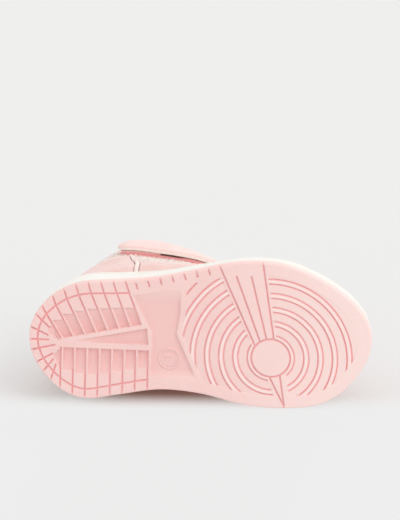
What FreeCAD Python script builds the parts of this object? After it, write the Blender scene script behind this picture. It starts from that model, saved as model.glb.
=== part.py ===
"""Toddler's high-top bootie, right foot: rubber cup sole, fleece upper and hook-and-loop ankle strap.

The shoe stands on its tread.  +X points to the toe, +Z up, and the outer (lateral) side is -Y.
Every layer of the upper is a patch of one last surface, set in by that layer's depth.
"""
import FreeCAD, Part
import math
import os
from bisect import bisect_right

Vector = FreeCAD.Vector

# ---------------------------------------------------------------- driving dimensions (mm, degrees)
SOLE_HEEL_X = -77.0            # back of the sole before the model is centred
SOLE_LENGTH = 152.5
SOLE_WIDTH_SCALE = 1.0         # grades every width of the sole together
# half width divided by the ellipse of the same length, at equal steps from heel to toe
SOLE_HALF_WIDTHS = (41.0, 38.3, 30.3, 26.4, 28.2, 33.4, 37.6, 40.2, 38.5)
# how far the middle of the sole swings to the outer side at the same steps
SOLE_SWING = (-2.0, -3.1, -1.5, 0.5, 1.4, 0.6, -0.6, -2.9, -2.0)

OUTSOLE_THICKNESS = 4.5
CUP_WALL = 3.6
CUP_FLOOR = 1.8
CUP_TOP_HEIGHTS = (21.0, 20.5, 19.0, 15.8, 14.2, 14.2, 15.5)   # at equal steps from heel to toe
CUP_LEAN_HEEL = 0.3            # how far the top of the sidewall leans in
CUP_LEAN_FORE = 2.2
WEDGE_TOP_HEEL = 13.8
WEDGE_TOP_TOE = 9.8
BOARD_THICKNESS = 1.2
FOOTBED_THICKNESS = 3.0
GLUE_GAP = 0.1
PADDING_GAP = 0.25             # room either side of the layer between panels and lining

OVERLAY_THICKNESS = 1.2
PANEL_THICKNESS = 1.5
STIFFENER_THICKNESS = 1.2
LINING_THICKNESS = 2.0
COLLAR_PADDING = 1.4           # how much deeper the lining sits behind the collar foam
TONGUE_THICKNESS = 4.0
SEAM_GAP = 0.3                 # degrees of girth between panels that butt together

STRAP_WIDTH_LEVELS = 2.0       # levels of the last that the strap covers
STRAP_SKIN = 1.1
STRAP_BACKING = 1.1
STRAP_STANDOFF_ANCHOR = 0.3
STRAP_STANDOFF_TIP = 1.35
PATCH_THICKNESS = 0.5          # hook patch and loop patch
HINGE_GAP = 0.8
HINGE_CLEARANCE = 0.12         # between the hooks and the loops while they are pressed together

GROOVE_WIDTH = 0.75
GROOVE_DEPTH = 1.2
POCKET_DEPTH = 1.8
WAIST_DEPTH = 1.4
PIVOT_X = 31.0
PIVOT_LATERAL = -10.1
PIVOT_RADIUS = 8.6

# ---------------------------------------------------------------- the last, as a stack of girths
# height at heel, height at front, heel x, front x, half widths at equal steps heel to front
FREE_GIRTHS = (
    (26.0, 26.0, -74.6, 70.5, (36.0, 30.0, 25.2, 33.0, 33.5)),
    (33.0, 34.0, -74.8, 65.0, (34.0, 30.0, 24.2, 30.8, 31.0)),
    (39.0, 40.0, -74.3, 54.0, (30.5, 29.5, 24.0, 25.5, 23.0)),
    (46.0, 48.0, -73.3, 37.0, (26.5, 29.0, 23.8, 22.5, 19.5)),
    (55.0, 59.0, -72.2, 18.5, (22.5, 27.2, 23.8, 22.5, 21.0)),
    (66.0, 71.0, -71.2, 9.0, (19.5, 25.3, 24.2, 21.8, 21.5)),
    (78.0, 83.0, -71.4, 4.5, (19.0, 23.6, 23.2, 21.4, 21.5)),
    (88.0, 95.0, -71.6, 3.5, (19.5, 22.8, 23.2, 21.8, 22.5)),
)
ANKLE_SWING = -1.5            # the shaft stands a little to the inner side
ANKLE_LEAN = -0.4              # and leans further that way with each level above the throat
TOP_LEVEL = 9.0
THROAT_LEVEL = 5.0
THROAT_HALF_ANGLES = (20.0, 27.0, 33.0, 37.0, 40.0)   # from the throat to the top, one a level
LATERAL = -1
MEDIAL = 1


def eased(values, share):
    """Monotone cubic through equally spaced values, for a share from 0 to 1."""
    return eased_at([i / (len(values) - 1) for i in range(len(values))], values, share)


def eased_at(knots, values, at):
    """Monotone cubic (Fritsch-Carlson) through values at the given knots."""
    at = min(max(at, knots[0]), knots[-1])
    i = min(bisect_right(knots, at), len(knots) - 1) - 1
    steps = [knots[k + 1] - knots[k] for k in range(len(knots) - 1)]
    rises = [(values[k + 1] - values[k]) / steps[k] for k in range(len(steps))]

    def slope(k):
        if k == 0:
            return rises[0]
        if k == len(steps):
            return rises[-1]
        if rises[k - 1] * rises[k] <= 0:
            return 0.0
        return 2 * rises[k - 1] * rises[k] / (rises[k - 1] + rises[k])

    h = steps[i]
    t = (at - knots[i]) / h
    return (values[i] * (2 * t ** 3 - 3 * t ** 2 + 1) + values[i + 1] * (3 * t ** 2 - 2 * t ** 3)
            + slope(i) * h * (t ** 3 - 2 * t ** 2 + t) + slope(i + 1) * h * (t ** 3 - t ** 2))


def smooth(values, share):
    """Smooth cubic (Catmull-Rom) through equally spaced values, for a share from 0 to 1."""
    last = len(values) - 1
    at = min(max(share, 0.0), 1.0) * last
    i = min(int(at), last - 1)
    t = at - i
    before = values[i - 1] if i > 0 else 2 * values[0] - values[1]
    after = values[i + 2] if i + 2 <= last else 2 * values[last] - values[last - 1]
    a, b = values[i], values[i + 1]
    return 0.5 * (2 * a + (b - before) * t + (2 * before - 5 * a + 4 * b - after) * t ** 2
                  + (3 * a - before - 3 * b + after) * t ** 3)


# ---------------------------------------------------------------- outlines of the sole
def sole_point(angle, inset=0.0):
    """Point (x, y) of the sole's outline: angle 0 is the heel, 180 the toe, negative is lateral."""
    turn = math.radians(angle)
    share = (1 - math.cos(turn)) / 2
    x = SOLE_HEEL_X + SOLE_LENGTH * share
    half = smooth(SOLE_HALF_WIDTHS, share) * SOLE_WIDTH_SCALE
    y = -smooth(SOLE_SWING, share) + half * math.sin(turn)
    if inset == 0.0:
        return x, y
    step = 0.5
    x0, y0 = sole_point(angle - step)
    x1, y1 = sole_point(angle + step)
    run = math.hypot(x1 - x0, y1 - y0)
    return x + (y1 - y0) / run * inset, y - (x1 - x0) / run * inset


def closed_wire(points):
    curve = Part.BSplineCurve()
    curve.interpolate(Points=points, PeriodicFlag=True)
    return Part.Wire(curve.toShape())


def sole_wire(z, inset=0.0, steps=60):
    """Closed outline at height z; inset is a number or a function of the angle."""
    points = []
    for i in range(steps):
        angle = 360.0 * i / steps
        depth = inset(angle) if callable(inset) else inset
        points.append(Vector(*sole_point(angle, depth), z))
    return closed_wire(points)


def sole_prism(z0, z1, inset=0.0):
    return Part.Face(sole_wire(z0, inset)).extrude(Vector(0, 0, z1 - z0))


def x_share(x):
    return (x - SOLE_HEEL_X) / SOLE_LENGTH


def cup_top(x):
    return smooth(CUP_TOP_HEIGHTS, min(max(x_share(x), 0.0), 1.0))


def wedge_top(x):
    return WEDGE_TOP_HEEL + (WEDGE_TOP_TOE - WEDGE_TOP_HEEL) * x_share(x)


def board_top(x):
    return wedge_top(x) + GLUE_GAP + BOARD_THICKNESS


def slab(lower, upper, steps=12):
    """Solid between two height functions of x, wider than the shoe."""
    margin, half_width = 8.0, 60.0 * SOLE_WIDTH_SCALE
    x0, x1 = SOLE_HEEL_X - margin, SOLE_HEEL_X + SOLE_LENGTH + margin
    xs = [x0 + (x1 - x0) * i / steps for i in range(steps + 1)]

    def edge(height):
        points = [Vector(x, -half_width, height(x)) for x in xs]
        if max(p.z for p in points) - min(p.z for p in points) < 1e-9:
            return Part.LineSegment(points[0], points[-1]).toShape()
        curve = Part.BSplineCurve()
        curve.interpolate(Points=points)
        return curve.toShape()

    ends = [Part.LineSegment(Vector(x, -half_width, lower(x)), Vector(x, -half_width, upper(x))).toShape()
            for x in (x0, x1)]
    wire = Part.Wire(Part.__sortEdges__([edge(lower), ends[1], edge(upper), ends[0]]))
    return Part.Face(wire).extrude(Vector(0, 2 * half_width, 0))


# ---------------------------------------------------------------- the tread
def plan(x, lateral, z=0.0):
    """A point of the tread, from its distance to the lateral side of the middle line."""
    return Vector(x, -lateral, z)


def prism(corners, depth, lift=0.5):
    """Cutter with the given (x, lateral) corners that reaches depth into the tread."""
    points = [plan(x, lateral, -lift) for x, lateral in corners]
    face = Part.Face(Part.makePolygon(points + points[:1]))
    return face.extrude(Vector(0, 0, depth + lift))


def groove(start, end, depth=None, width=None):
    """Straight groove between two (x, lateral) points."""
    depth = depth or GROOVE_DEPTH
    half = (width or GROOVE_WIDTH) / 2
    dx, dy = end[0] - start[0], end[1] - start[1]
    run = math.hypot(dx, dy)
    nx, ny = -dy / run * half, dx / run * half
    return prism([(start[0] + nx, start[1] + ny), (end[0] + nx, end[1] + ny),
                  (end[0] - nx, end[1] - ny), (start[0] - nx, start[1] - ny)], depth)


def along(start, end, share):
    return start[0] + (end[0] - start[0]) * share, start[1] + (end[1] - start[1]) * share


FAN_LINES = (((9.8, 31.4), (24.3, -4.8)), ((17.0, 26.9), (26.3, -2.1)),
             ((23.6, 26.7), (29.4, -1.8)), ((29.0, 31.0), (32.6, -1.7)))
FAN_POINT = (36.4, -32.7)
FAN_FEET = ((30.2, -18.8), (34.8, -18.2))
RING_RADII = (10.4, 14.6, 16.8, 20.9, 23.1, 27.2, 29.4, 33.6, 35.8)
HEEL_SIDE_RADII = RING_RADII + (39.8, 42.0, 46.5)
RING_RIM = 5.6                 # plain rubber left between the rings and the edge of the sole
HEEL_APEX = (-62.3, -3.3)
RIB_END_LATERAL = (-23.7, 5.2)
RIB_END_MEDIAL = (-23.4, -5.6)
WAIST_LEFT = ((-29.0, 18.2), (-21.3, 1.1), (-21.6, -6.7), (-22.8, -18.2))
WAIST_RIGHT = ((-7.9, 21.0), (-8.6, 10.0), (-10.6, 0.6), (-2.4, -20.6))
BACK_POCKETS = (((-63.4, -2.2), (-68.0, 1.2), (-67.6, 3.4), (-66.0, 4.4)),
                ((-63.6, -6.6), (-66.2, -9.2), (-64.9, -12.8), (-63.6, -15.0)))
HEEL_GROOVE_COUNT = 8
BADGE_CENTRE = (-14.3, -10.8)
BADGE_RADIUS = 5.0


def pivot_tube(radius, width, depth):
    """Round groove about the pivot disc."""
    base = plan(PIVOT_X, PIVOT_LATERAL, -0.5)
    outer = Part.makeCylinder(radius + width / 2, depth + 0.5, base)
    inner = Part.makeCylinder(radius - width / 2, depth + 0.5, base)
    return outer.cut(inner)


def ring_grooves():
    """Rings about the pivot, stopped by the two fans, the waist and the plain rim."""
    rim = sole_prism(-0.5, GROOVE_DEPTH, RING_RIM)
    far = 90.0
    first, last = FAN_LINES[0], FAN_LINES[-1]
    foot_heel, foot_toe = FAN_FEET
    gap = 1.4
    toe_side = prism([along(last[1], last[0], -0.1), along(last[1], last[0], 1.5), (far, far), (far, -far),
                      (FAN_POINT[0] + gap, -far), (FAN_POINT[0] + gap, FAN_POINT[1]),
                      (foot_toe[0] + gap, foot_toe[1])], GROOVE_DEPTH)
    toe_side.translate(plan(gap, 0.0))
    heel_side = prism([along(first[1], first[0], -0.1), along(first[1], first[0], 1.5), (WAIST_RIGHT[0][0], far),
                       (WAIST_RIGHT[0][0], WAIST_RIGHT[0][1]), WAIST_RIGHT[1], WAIST_RIGHT[2], WAIST_RIGHT[3],
                       (WAIST_RIGHT[3][0] + 8, -far), (FAN_POINT[0] - 2 * gap, -far),
                       (FAN_POINT[0] - gap, FAN_POINT[1]), (foot_heel[0], foot_heel[1])], GROOVE_DEPTH)
    heel_side.translate(plan(-gap, 0.0))
    waist_rib = 2.6            # the strip between the waist recess and the first ring end
    heel_side = heel_side.cut(prism([(x + waist_rib * i, y) for i in (0, 1) for x, y in
                                     (WAIST_RIGHT if i == 0 else WAIST_RIGHT[::-1])], GROOVE_DEPTH))
    cutters = [pivot_tube(PIVOT_RADIUS, GROOVE_WIDTH, GROOVE_DEPTH)]
    for field, radii in ((toe_side, RING_RADII), (heel_side, HEEL_SIDE_RADII)):
        field = field.common(rim)
        for radius in radii:
            ring = pivot_tube(radius, GROOVE_WIDTH, GROOVE_DEPTH).common(field)
            cutters.extend(s for s in ring.Solids if s.Volume > 1.0)
    return cutters


def heel_line(index, side):
    """Rim point and rib point of one cross groove of the heel; index 0 is nearest the waist."""
    if side == LATERAL:
        return ((-30.9 - 5.55 * index, 19.4 - 0.15 * index ** 2), (-26.3 - 5.2 * index, 5.0 - 0.9 * index))
    return ((-25.1 - 5.65 * index, -32.0), (-23.6 - 5.6 * index, -7.2 + 0.2 * index))


def heel_rim_line(index):
    """Where a lateral cross groove turns at the rim groove, and its end past the edge of the sole."""
    knee = heel_line(index, LATERAL)[0]
    return knee, (knee[0] - 2.9, knee[1] + 11.0)


def heel_pockets():
    """Pockets each side of the wedge-shaped ribs, between cross grooves, and two small ones behind."""
    rib = 1.3
    cutters = [prism(corners, POCKET_DEPTH * 0.6) for corners in BACK_POCKETS]
    for index in range(HEEL_GROOVE_COUNT - 1):
        for side, tops in ((LATERAL, (12.5, 12.5, 12.2, 11.9, 11.0, 9.6, 6.8)),
                           (MEDIAL, (-14.8, -15.6, -16.5, -17.4, -17.8, -17.5, -16.0))):
            toe_line = heel_line(index, side)
            heel_side_line = heel_line(index + 1, side)
            corners = []
            for (rim_point, foot), shift, foot_first in ((toe_line, 0.0, True), (heel_side_line, rib, False)):
                share = (tops[index] - foot[1]) / (rim_point[1] - foot[1])
                top = along(foot, rim_point, share)
                pair = [(foot[0] + shift, foot[1]), (top[0] + shift, top[1])]
                corners.extend(pair if foot_first else pair[::-1])
            cutters.append(prism(corners, POCKET_DEPTH))
    return cutters


def heel_grooves():
    """Rim groove round the heel, cross grooves and the fan of radial grooves at the back."""
    def rim_width(angle, extra=0.0):
        side = math.sin(math.radians(angle))
        return 3.9 + (1.2 if side > 0 else 2.2) * side * side + extra

    outer = sole_prism(-0.5, GROOVE_DEPTH, lambda a: rim_width(a, -GROOVE_WIDTH / 2))
    inner = sole_prism(-1.0, GROOVE_DEPTH + 1, lambda a: rim_width(a, GROOVE_WIDTH / 2))
    waist_side = prism([(-90, 60), (-31.0, 60), (-31.0, 0), (-24.5, 0), (-24.5, -60), (-90, -60)], GROOVE_DEPTH)
    cutters = [outer.cut(inner).common(waist_side)]
    for index in range(HEEL_GROOVE_COUNT):
        for side in (LATERAL, MEDIAL):
            rim_point, foot = heel_line(index, side)
            cutters.append(groove(rim_point, foot))
        cutters.append(groove(*heel_rim_line(index)))
    radials = (((-76.0, 12.4), (-67.3, 3.3)), ((-79.0, 5.5), (-68.4, 0.0)), ((-80.0, -1.6), (-68.2, -2.1)),
               ((-79.5, -7.4), (-65.5, -4.5)), ((-78.0, -14.5), (-66.7, -8.5)), ((-75.0, -20.9), (-66.6, -11.2)),
               ((-70.0, -25.5), (-65.5, -13.6)))
    cutters.extend(groove(*line) for line in radials)
    return cutters


def waist_and_ribs():
    """Waist recess with its size badge, the wedge-shaped recess of the heel, and the edge ticks."""
    waist = prism(list(WAIST_LEFT) + list(WAIST_RIGHT[::-1]), WAIST_DEPTH)
    base = plan(*BADGE_CENTRE, -1.0)
    ring = Part.makeCylinder(BADGE_RADIUS, 9, base).cut(Part.makeCylinder(BADGE_RADIUS - 0.8, 9, base))
    mark = Part.makeBox(3.6, 1.1, 9, plan(BADGE_CENTRE[0] - 1.8, BADGE_CENTRE[1] + 0.55, -1.0))
    badge_face = prism([(-40, -40), (10, -40), (10, 10), (-40, 10)], WAIST_DEPTH - 0.5)
    waist = waist.cut(ring.fuse(mark)).fuse(waist.common(ring.fuse(mark)).common(badge_face))
    wedge = prism([(HEEL_APEX[0] + 5.0, HEEL_APEX[1] + 0.4), along(HEEL_APEX, RIB_END_LATERAL, 1.0),
                   along(HEEL_APEX, RIB_END_MEDIAL, 1.0)], POCKET_DEPTH)
    rib = 1.5
    wedge = wedge.common(prism([(-90, 4.6), (RIB_END_LATERAL[0], 3.0), (RIB_END_MEDIAL[0], -4.2), (-90, -3.2)],
                               POCKET_DEPTH + rib))
    cutters = [waist, wedge]
    for index in range(7):
        x, lateral = -27.1 + 5.4 * index, 22.4 + 1.1 * index
        cutters.append(groove((x, lateral - 1.1), (x - 0.6, lateral + 1.2)))
    return cutters


def make_outsole():
    blank = sole_prism(0, OUTSOLE_THICKNESS)
    cutters = ring_grooves() + heel_pockets() + heel_grooves() + waist_and_ribs()
    cutters += [groove(*line) for line in (FAN_LINES[1], FAN_LINES[2])]
    for line in (FAN_LINES[0], FAN_LINES[3]):
        cutters.append(groove(along(line[1], line[0], 1.3), line[1]))
    cutters += [groove(foot, along(foot, FAN_POINT, 1.1)) for foot in FAN_FEET]
    return blank.cut(cutters)


# ---------------------------------------------------------------- cup, wedge, board and footbed
def make_cupsole():
    def lean(angle):
        share = (1 - math.cos(math.radians(angle))) / 2
        return CUP_LEAN_HEEL + (CUP_LEAN_FORE - CUP_LEAN_HEEL) * share

    base = OUTSOLE_THICKNESS + GLUE_GAP
    height = max(CUP_TOP_HEIGHTS) + 3
    outer = Part.makeLoft([sole_wire(base), sole_wire(height, lean)], True, False)
    outer = outer.common(slab(lambda x: base - 1, cup_top))
    cavity = sole_prism(base + CUP_FLOOR, height + 1, CUP_WALL)
    return outer.cut(cavity)


def plate(lower, upper, inset):
    return sole_prism(0, 40, inset).common(slab(lower, upper))


def make_sole_unit():
    floor = OUTSOLE_THICKNESS + GLUE_GAP + CUP_FLOOR + GLUE_GAP
    inside = CUP_WALL + GLUE_GAP
    lining_inside = inside + lining_depth(0) + LINING_THICKNESS + GLUE_GAP
    return {
        "outsole": make_outsole(),
        "cupsole": make_cupsole(),
        "midsole_wedge": plate(lambda x: floor, wedge_top, inside),
        "insole_board": plate(lambda x: wedge_top(x) + GLUE_GAP, board_top, inside),
        "footbed": plate(lambda x: board_top(x) + GLUE_GAP,
                         lambda x: board_top(x) + GLUE_GAP + FOOTBED_THICKNESS, lining_inside + 0.2),
    }


# ---------------------------------------------------------------- the last surface
def girth_point(level, angle):
    """Point of one girth: 0 and 1 follow the sole inside the cup, the others are free."""
    if level < 2:
        x, y = sole_point(angle, CUP_WALL + GLUE_GAP)
        return Vector(x, y, board_top(x) + GLUE_GAP if level == 0 else cup_top(x) + 0.3)
    z_heel, z_front, x_heel, x_front, halves = FREE_GIRTHS[level - 2]
    turn = math.radians(angle)
    share = (1 - math.cos(turn)) / 2
    x_heel += SOLE_HEEL_X + 77.0
    if level <= 4:
        x_front += SOLE_HEEL_X + SOLE_LENGTH - 75.5
    ankle = min((level - 1) / 4.0, 1.0)
    lean = ANKLE_SWING + ANKLE_LEAN * max(level - THROAT_LEVEL, 0.0)
    swing = (1 - ankle) * smooth(SOLE_SWING, share) + ankle * lean
    half = smooth(halves, share) * SOLE_WIDTH_SCALE
    return Vector(x_heel + (x_front - x_heel) * share, -swing + half * math.sin(turn),
                  z_heel + (z_front - z_heel) * share)


LEVELS = [float(i) for i in range(len(FREE_GIRTHS) + 2)]
girth_cache = {}


def bare_point(angle, level):
    key = round(angle, 4)
    if key not in girth_cache:
        girth_cache[key] = [girth_point(i, angle) for i in range(len(LEVELS))]
    girths = girth_cache[key]
    over = max(level - TOP_LEVEL, 0.0)
    at = [eased_at(LEVELS, [p[axis] for p in girths], level) for axis in range(3)]
    return Vector(*at) + (girths[-1] - girths[-2]) * over


def last_point(angle, level, depth=0.0):
    """Point of the last at an angle round the foot and a level up it, set in by depth."""
    point = bare_point(angle, level)
    step = 0.04
    girth_way = bare_point(angle + 1.0, level) - bare_point(angle - 1.0, level)
    up_way = bare_point(angle, level + step) - bare_point(angle, max(level - step, 0.0))
    outward = up_way.cross(girth_way)
    outward.normalize()
    return point - outward * depth


def between_skins(outer, inner):
    """Closed solid between two surfaces with matching edges, walled by straight strips."""
    u0, u1, v0, v1 = outer.bounds()
    faces = [outer.toShape(), inner.toShape()]
    for edge_of in (lambda s: s.uIso(u0), lambda s: s.uIso(u1), lambda s: s.vIso(v0), lambda s: s.vIso(v1)):
        faces.append(Part.makeRuledSurface(edge_of(outer).toShape(), edge_of(inner).toShape(), 1))
    sewn = Part.makeCompound(faces)
    sewn.sewShape(0.001)
    solid = Part.Solid(sewn.Shells[0])
    if solid.Volume < 0:
        solid.reverse()
    return solid


def patch(place, outer, inner, girth_steps=22, level_steps=16):
    """Solid between two depths of the last; place maps shares (s, t) to (angle, level).

    outer and inner are depths, as numbers or functions of (s, t, angle, level).
    """
    def grid(depth):
        rows = []
        for i in range(girth_steps + 1):
            row = []
            for j in range(level_steps + 1):
                s, t = i / girth_steps, j / level_steps
                angle, level = place(s, t)
                row.append(last_point(angle, level, depth(s, t, angle, level) if callable(depth) else depth))
            rows.append(row)
        surface = Part.BSplineSurface()
        surface.interpolate(rows)
        return surface

    return between_skins(grid(outer), grid(inner))


# ---------------------------------------------------------------- seam lines of the upper
HEEL_OVERLAY_ANGLE = 62.0      # where the heel overlay ends, at the sidewall
HEEL_OVERLAY_RAKE = 2.3        # degrees that its edge moves forward with each level above that
HEEL_OVERLAY_TOP = 5.0
FOXING_TOP = 2.9
MUDGUARD_ANGLE = 116.0
MUDGUARD_TOP = 2.7
EYESTAY_WIDTH = 26.0
PIPING_WIDTH = 1.7
SKIVING = 0.35                 # how much thinner the overlays are where they go under the foot


def heel_edge(level):
    """Angle where the heel overlay ends."""
    return HEEL_OVERLAY_ANGLE + HEEL_OVERLAY_RAKE * max(level - 2.0, 0.0)


def overlay_inner(s, t, angle, level):
    return OVERLAY_THICKNESS - SKIVING * max(1.3 - level, 0.0)


def throat_angle(level):
    """Half angle of the gap between the eyestays."""
    share = (min(level, TOP_LEVEL) - THROAT_LEVEL) / (TOP_LEVEL - THROAT_LEVEL)
    return eased(THROAT_HALF_ANGLES, share)


def quarter_front(level):
    """Angle where a quarter ends: at the vamp seam below the throat, then along the throat."""
    if level >= THROAT_LEVEL:
        return 180.0 - throat_angle(level)
    return eased((100.0, 108.0, 128.0, 180.0 - THROAT_HALF_ANGLES[0]), level / THROAT_LEVEL)


def lining_depth(level):
    """Depth of the lining's outer face, deeper behind the collar foam."""
    plain = OVERLAY_THICKNESS + PANEL_THICKNESS + STIFFENER_THICKNESS + GLUE_GAP + 2 * PADDING_GAP
    return plain + COLLAR_PADDING * eased((0.0, 0.0, 1.0, 1.0, 0.3), max(level - 5.0, 0.0) / 4.0)


PANEL_OUTER = OVERLAY_THICKNESS + GLUE_GAP
PANEL_INNER = PANEL_OUTER + PANEL_THICKNESS
MIDDLE_OUTER = PANEL_INNER + PADDING_GAP


def middle_inner(s, t, angle, level):
    return lining_depth(level) - PADDING_GAP


def lining_outer(s, t, angle, level):
    return lining_depth(level)


def lining_inner(s, t, angle, level):
    return lining_depth(level) + LINING_THICKNESS


def side_strip(side, back, front, bottom, top):
    """Place function of a panel on one side between two angles; bounds may depend on the level."""
    def place(s, t):
        level = bottom + (top - bottom) * t
        a = back(level) if callable(back) else back
        b = front(level) if callable(front) else front
        return side * (a + (b - a) * s), level
    return place


def round_heel(half_angle, bottom, top):
    """Place function of a panel that wraps the heel, between the same angles on both sides."""
    def place(s, t):
        level = bottom + (top - bottom) * t
        half = half_angle(level) if callable(half_angle) else half_angle
        return half * (2 * s - 1), level
    return place


def round_toe(half_angle, bottom, top):
    """Place function of a panel that wraps the toe."""
    def place(s, t):
        level = bottom + (top - bottom) * t
        half = half_angle(level) if callable(half_angle) else half_angle
        return 180.0 + half * (2 * s - 1), level
    return place


def named(side):
    return "lateral" if side == LATERAL else "medial"


def make_upper():
    parts = {}
    for side in (LATERAL, MEDIAL):
        quarter = side_strip(side, SEAM_GAP, quarter_front, 0.0, TOP_LEVEL)
        parts["quarter_" + named(side)] = patch(quarter, PANEL_OUTER, PANEL_INNER, 34, 36)
        parts["lining_" + named(side)] = patch(
            side_strip(side, SEAM_GAP, lining_front, 0.0, TOP_LEVEL), lining_outer, lining_inner, 36, 36)
        parts["quarter_foam_" + named(side)] = patch(
            side_strip(side, 62.0, lambda level: quarter_front(level) - 2.0, 0.1, 5.9),
            MIDDLE_OUTER, middle_inner, 34, 30)
        parts["foxing_" + named(side)] = patch(
            side_strip(side, lambda level: heel_edge(level) + PIPING_WIDTH + SEAM_GAP, MUDGUARD_ANGLE - SEAM_GAP,
                       0.0, FOXING_TOP), 0.0, overlay_inner)
        parts["heel_piping_" + named(side)] = patch(
            side_strip(side, heel_edge, lambda level: heel_edge(level) + PIPING_WIDTH, 1.0, HEEL_OVERLAY_TOP),
            lambda s, t, a, level: -0.1 - 0.7 * math.sin(math.pi * s) * min(level - 1.0, 1.0),
            OVERLAY_THICKNESS - SKIVING, 8, 20)
        parts["eyestay_" + named(side)] = patch(
            side_strip(side, lambda level: 180 - throat_angle(level) - EYESTAY_WIDTH,
                       lambda level: 180 - throat_angle(level), THROAT_LEVEL - 0.6, TOP_LEVEL - 0.15),
            0.0, OVERLAY_THICKNESS)
    parts["heel_overlay"] = patch(round_heel(lambda level: heel_edge(level) - SEAM_GAP, 0.0, HEEL_OVERLAY_TOP),
                                  0.0, overlay_inner, 34, 20)
    parts["heel_counter"] = patch(round_heel(60.0, 0.1, 4.8), MIDDLE_OUTER, middle_inner, 30, 14)
    parts["collar_foam"] = patch(round_heel(lambda level: 180 - throat_angle(level) - 8.0, 7.0, 8.9),
                                 MIDDLE_OUTER, middle_inner, 40, 10)
    parts["vamp"] = patch(round_toe(lambda level: 180 - quarter_front(level) - SEAM_GAP, 0.0, THROAT_LEVEL),
                          PANEL_OUTER, PANEL_INNER, 30, 20)
    parts["mudguard"] = patch(round_toe(180 - MUDGUARD_ANGLE - SEAM_GAP, 0.0, MUDGUARD_TOP),
                              0.0, overlay_inner, 34, 12)
    parts["toe_puff"] = patch(round_toe(46.0, 0.1, 2.4), MIDDLE_OUTER, middle_inner, 30, 10)
    return parts


def lining_front(level):
    """The lining closes over the toes and follows the quarter along the throat."""
    blend = min(max((level - THROAT_LEVEL + 0.8) / 0.8, 0.0), 1.0)
    return (180.0 - SEAM_GAP) * (1 - blend) + (180.0 - throat_angle(max(level, THROAT_LEVEL))) * blend


# ---------------------------------------------------------------- tongue, collar roll, tab, elastics
TONGUE_SPLIT = 6.1
TONGUE_TOP = 9.5
TONGUE_SIDE_GAP = 2.5          # degrees between the tongue and the eyestay
TONGUE_CROWN_DEPTH = 1.6
COLLAR_ROLL_HEIGHT = 2.4
ELASTIC_LEVELS = (5.14, 5.41, 5.68)
ELASTIC_HALF_WIDTH = 0.095


def tongue_place(bottom, top):
    return round_toe(lambda level: throat_angle(level) - TONGUE_SIDE_GAP, bottom, top)


def tongue_outer(s, t, angle, level):
    return TONGUE_CROWN_DEPTH + 2.0 * (2 * s - 1) ** 2


def tongue_inner(s, t, angle, level):
    return TONGUE_CROWN_DEPTH + TONGUE_THICKNESS + 1.2 * (1 - (2 * s - 1) ** 2)


def collar_place(s, t):
    level = TOP_LEVEL
    half = 180 - throat_angle(level)
    return half * (2 * s - 1), level


def make_collar_roll():
    """Fleece roll over the top edge: a dome between the panel's outer face and the lining's inner face."""
    first, last = PANEL_OUTER - 0.4, lining_depth(TOP_LEVEL) + LINING_THICKNESS + 0.4
    steps, rounds = 48, 10

    def grid(height):
        rows = []
        for i in range(steps + 1):
            angle, level = collar_place(i / steps, 0)
            row = []
            for j in range(rounds + 1):
                t = j / rounds
                point = last_point(angle, level, first + (last - first) * t)
                row.append(point + Vector(0, 0, height(t)))
            rows.append(row)
        surface = Part.BSplineSurface()
        surface.interpolate(rows)
        return surface

    return between_skins(grid(lambda t: 0.6 + COLLAR_ROLL_HEIGHT * math.sin(math.pi * t) ** 0.7),
                         grid(lambda t: GLUE_GAP))


def make_throat():
    bands = []
    for middle in ELASTIC_LEVELS:
        place = round_toe(lambda level: throat_angle(level) + 12.0,
                          middle - ELASTIC_HALF_WIDTH, middle + ELASTIC_HALF_WIDTH)
        bands.append(patch(place, -GLUE_GAP - 0.9, -GLUE_GAP, 24, 4))
    return {
        "tongue_base": patch(tongue_place(THROAT_LEVEL + 0.05, TONGUE_SPLIT - 0.03), tongue_outer, tongue_inner),
        "tongue_top": patch(tongue_place(TONGUE_SPLIT + 0.03, TONGUE_TOP), tongue_outer, tongue_inner),
        "collar_roll": make_collar_roll(),
        "heel_tab": patch(round_heel(11.0, 6.3, 8.9), PANEL_OUTER - GLUE_GAP - 1.0, PANEL_OUTER - GLUE_GAP, 10, 10),
        "elastic_bands": Part.makeCompound(bands),
    }


# ---------------------------------------------------------------- the ankle strap
STRAP_ANCHOR_END = 236.0       # medial end, stitched to the quarter
STRAP_HINGE = 222.0            # where the strap starts to lift
STRAP_TIP_HINGE = 95.0
STRAP_TIP_END = 67.0
STRAP_BOTTOM_LEVELS = (6.35, 6.0, 5.9, 6.1, 6.3)    # at equal steps from the tip to the anchor
TIP_ROUNDING = 7.0             # degrees of girth over which the tip narrows


def strap_share(turn):
    return (turn - STRAP_TIP_END) / (STRAP_ANCHOR_END - STRAP_TIP_END)


def strap_place(start, end):
    """Angles run from the lateral tip, over the front, to the medial anchor."""
    def place(s, t):
        turn = start + (end - start) * s
        bottom = eased(STRAP_BOTTOM_LEVELS, strap_share(turn))
        near_tip = max(1 - (turn - STRAP_TIP_END) / TIP_ROUNDING, 0.0)
        spread = 1 - 0.5 * near_tip ** 2
        return -turn, bottom + STRAP_WIDTH_LEVELS * (0.5 + (t - 0.5) * spread)
    return place


def strap_standoff(turn):
    return STRAP_STANDOFF_TIP + (STRAP_STANDOFF_ANCHOR - STRAP_STANDOFF_TIP) * strap_share(turn)


def strap_layer(near, far):
    """Outer and inner depth functions of a strap layer, from its distances off the ankle."""
    def depth(distance):
        return lambda s, t, angle, level: -(strap_standoff(-angle) + distance)
    return depth(far), depth(near)


def hinge_line(turn):
    """Lowest and highest outer points of the strap at an angle, where it folds."""
    place = strap_place(turn, turn + 1)
    outer = strap_layer(0, STRAP_BACKING + GLUE_GAP + STRAP_SKIN)[0]
    ends = []
    for t in (0.0, 1.0):
        angle, level = place(0.0, t)
        ends.append(last_point(angle, level, outer(0, t, angle, level)))
    return ends


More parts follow.
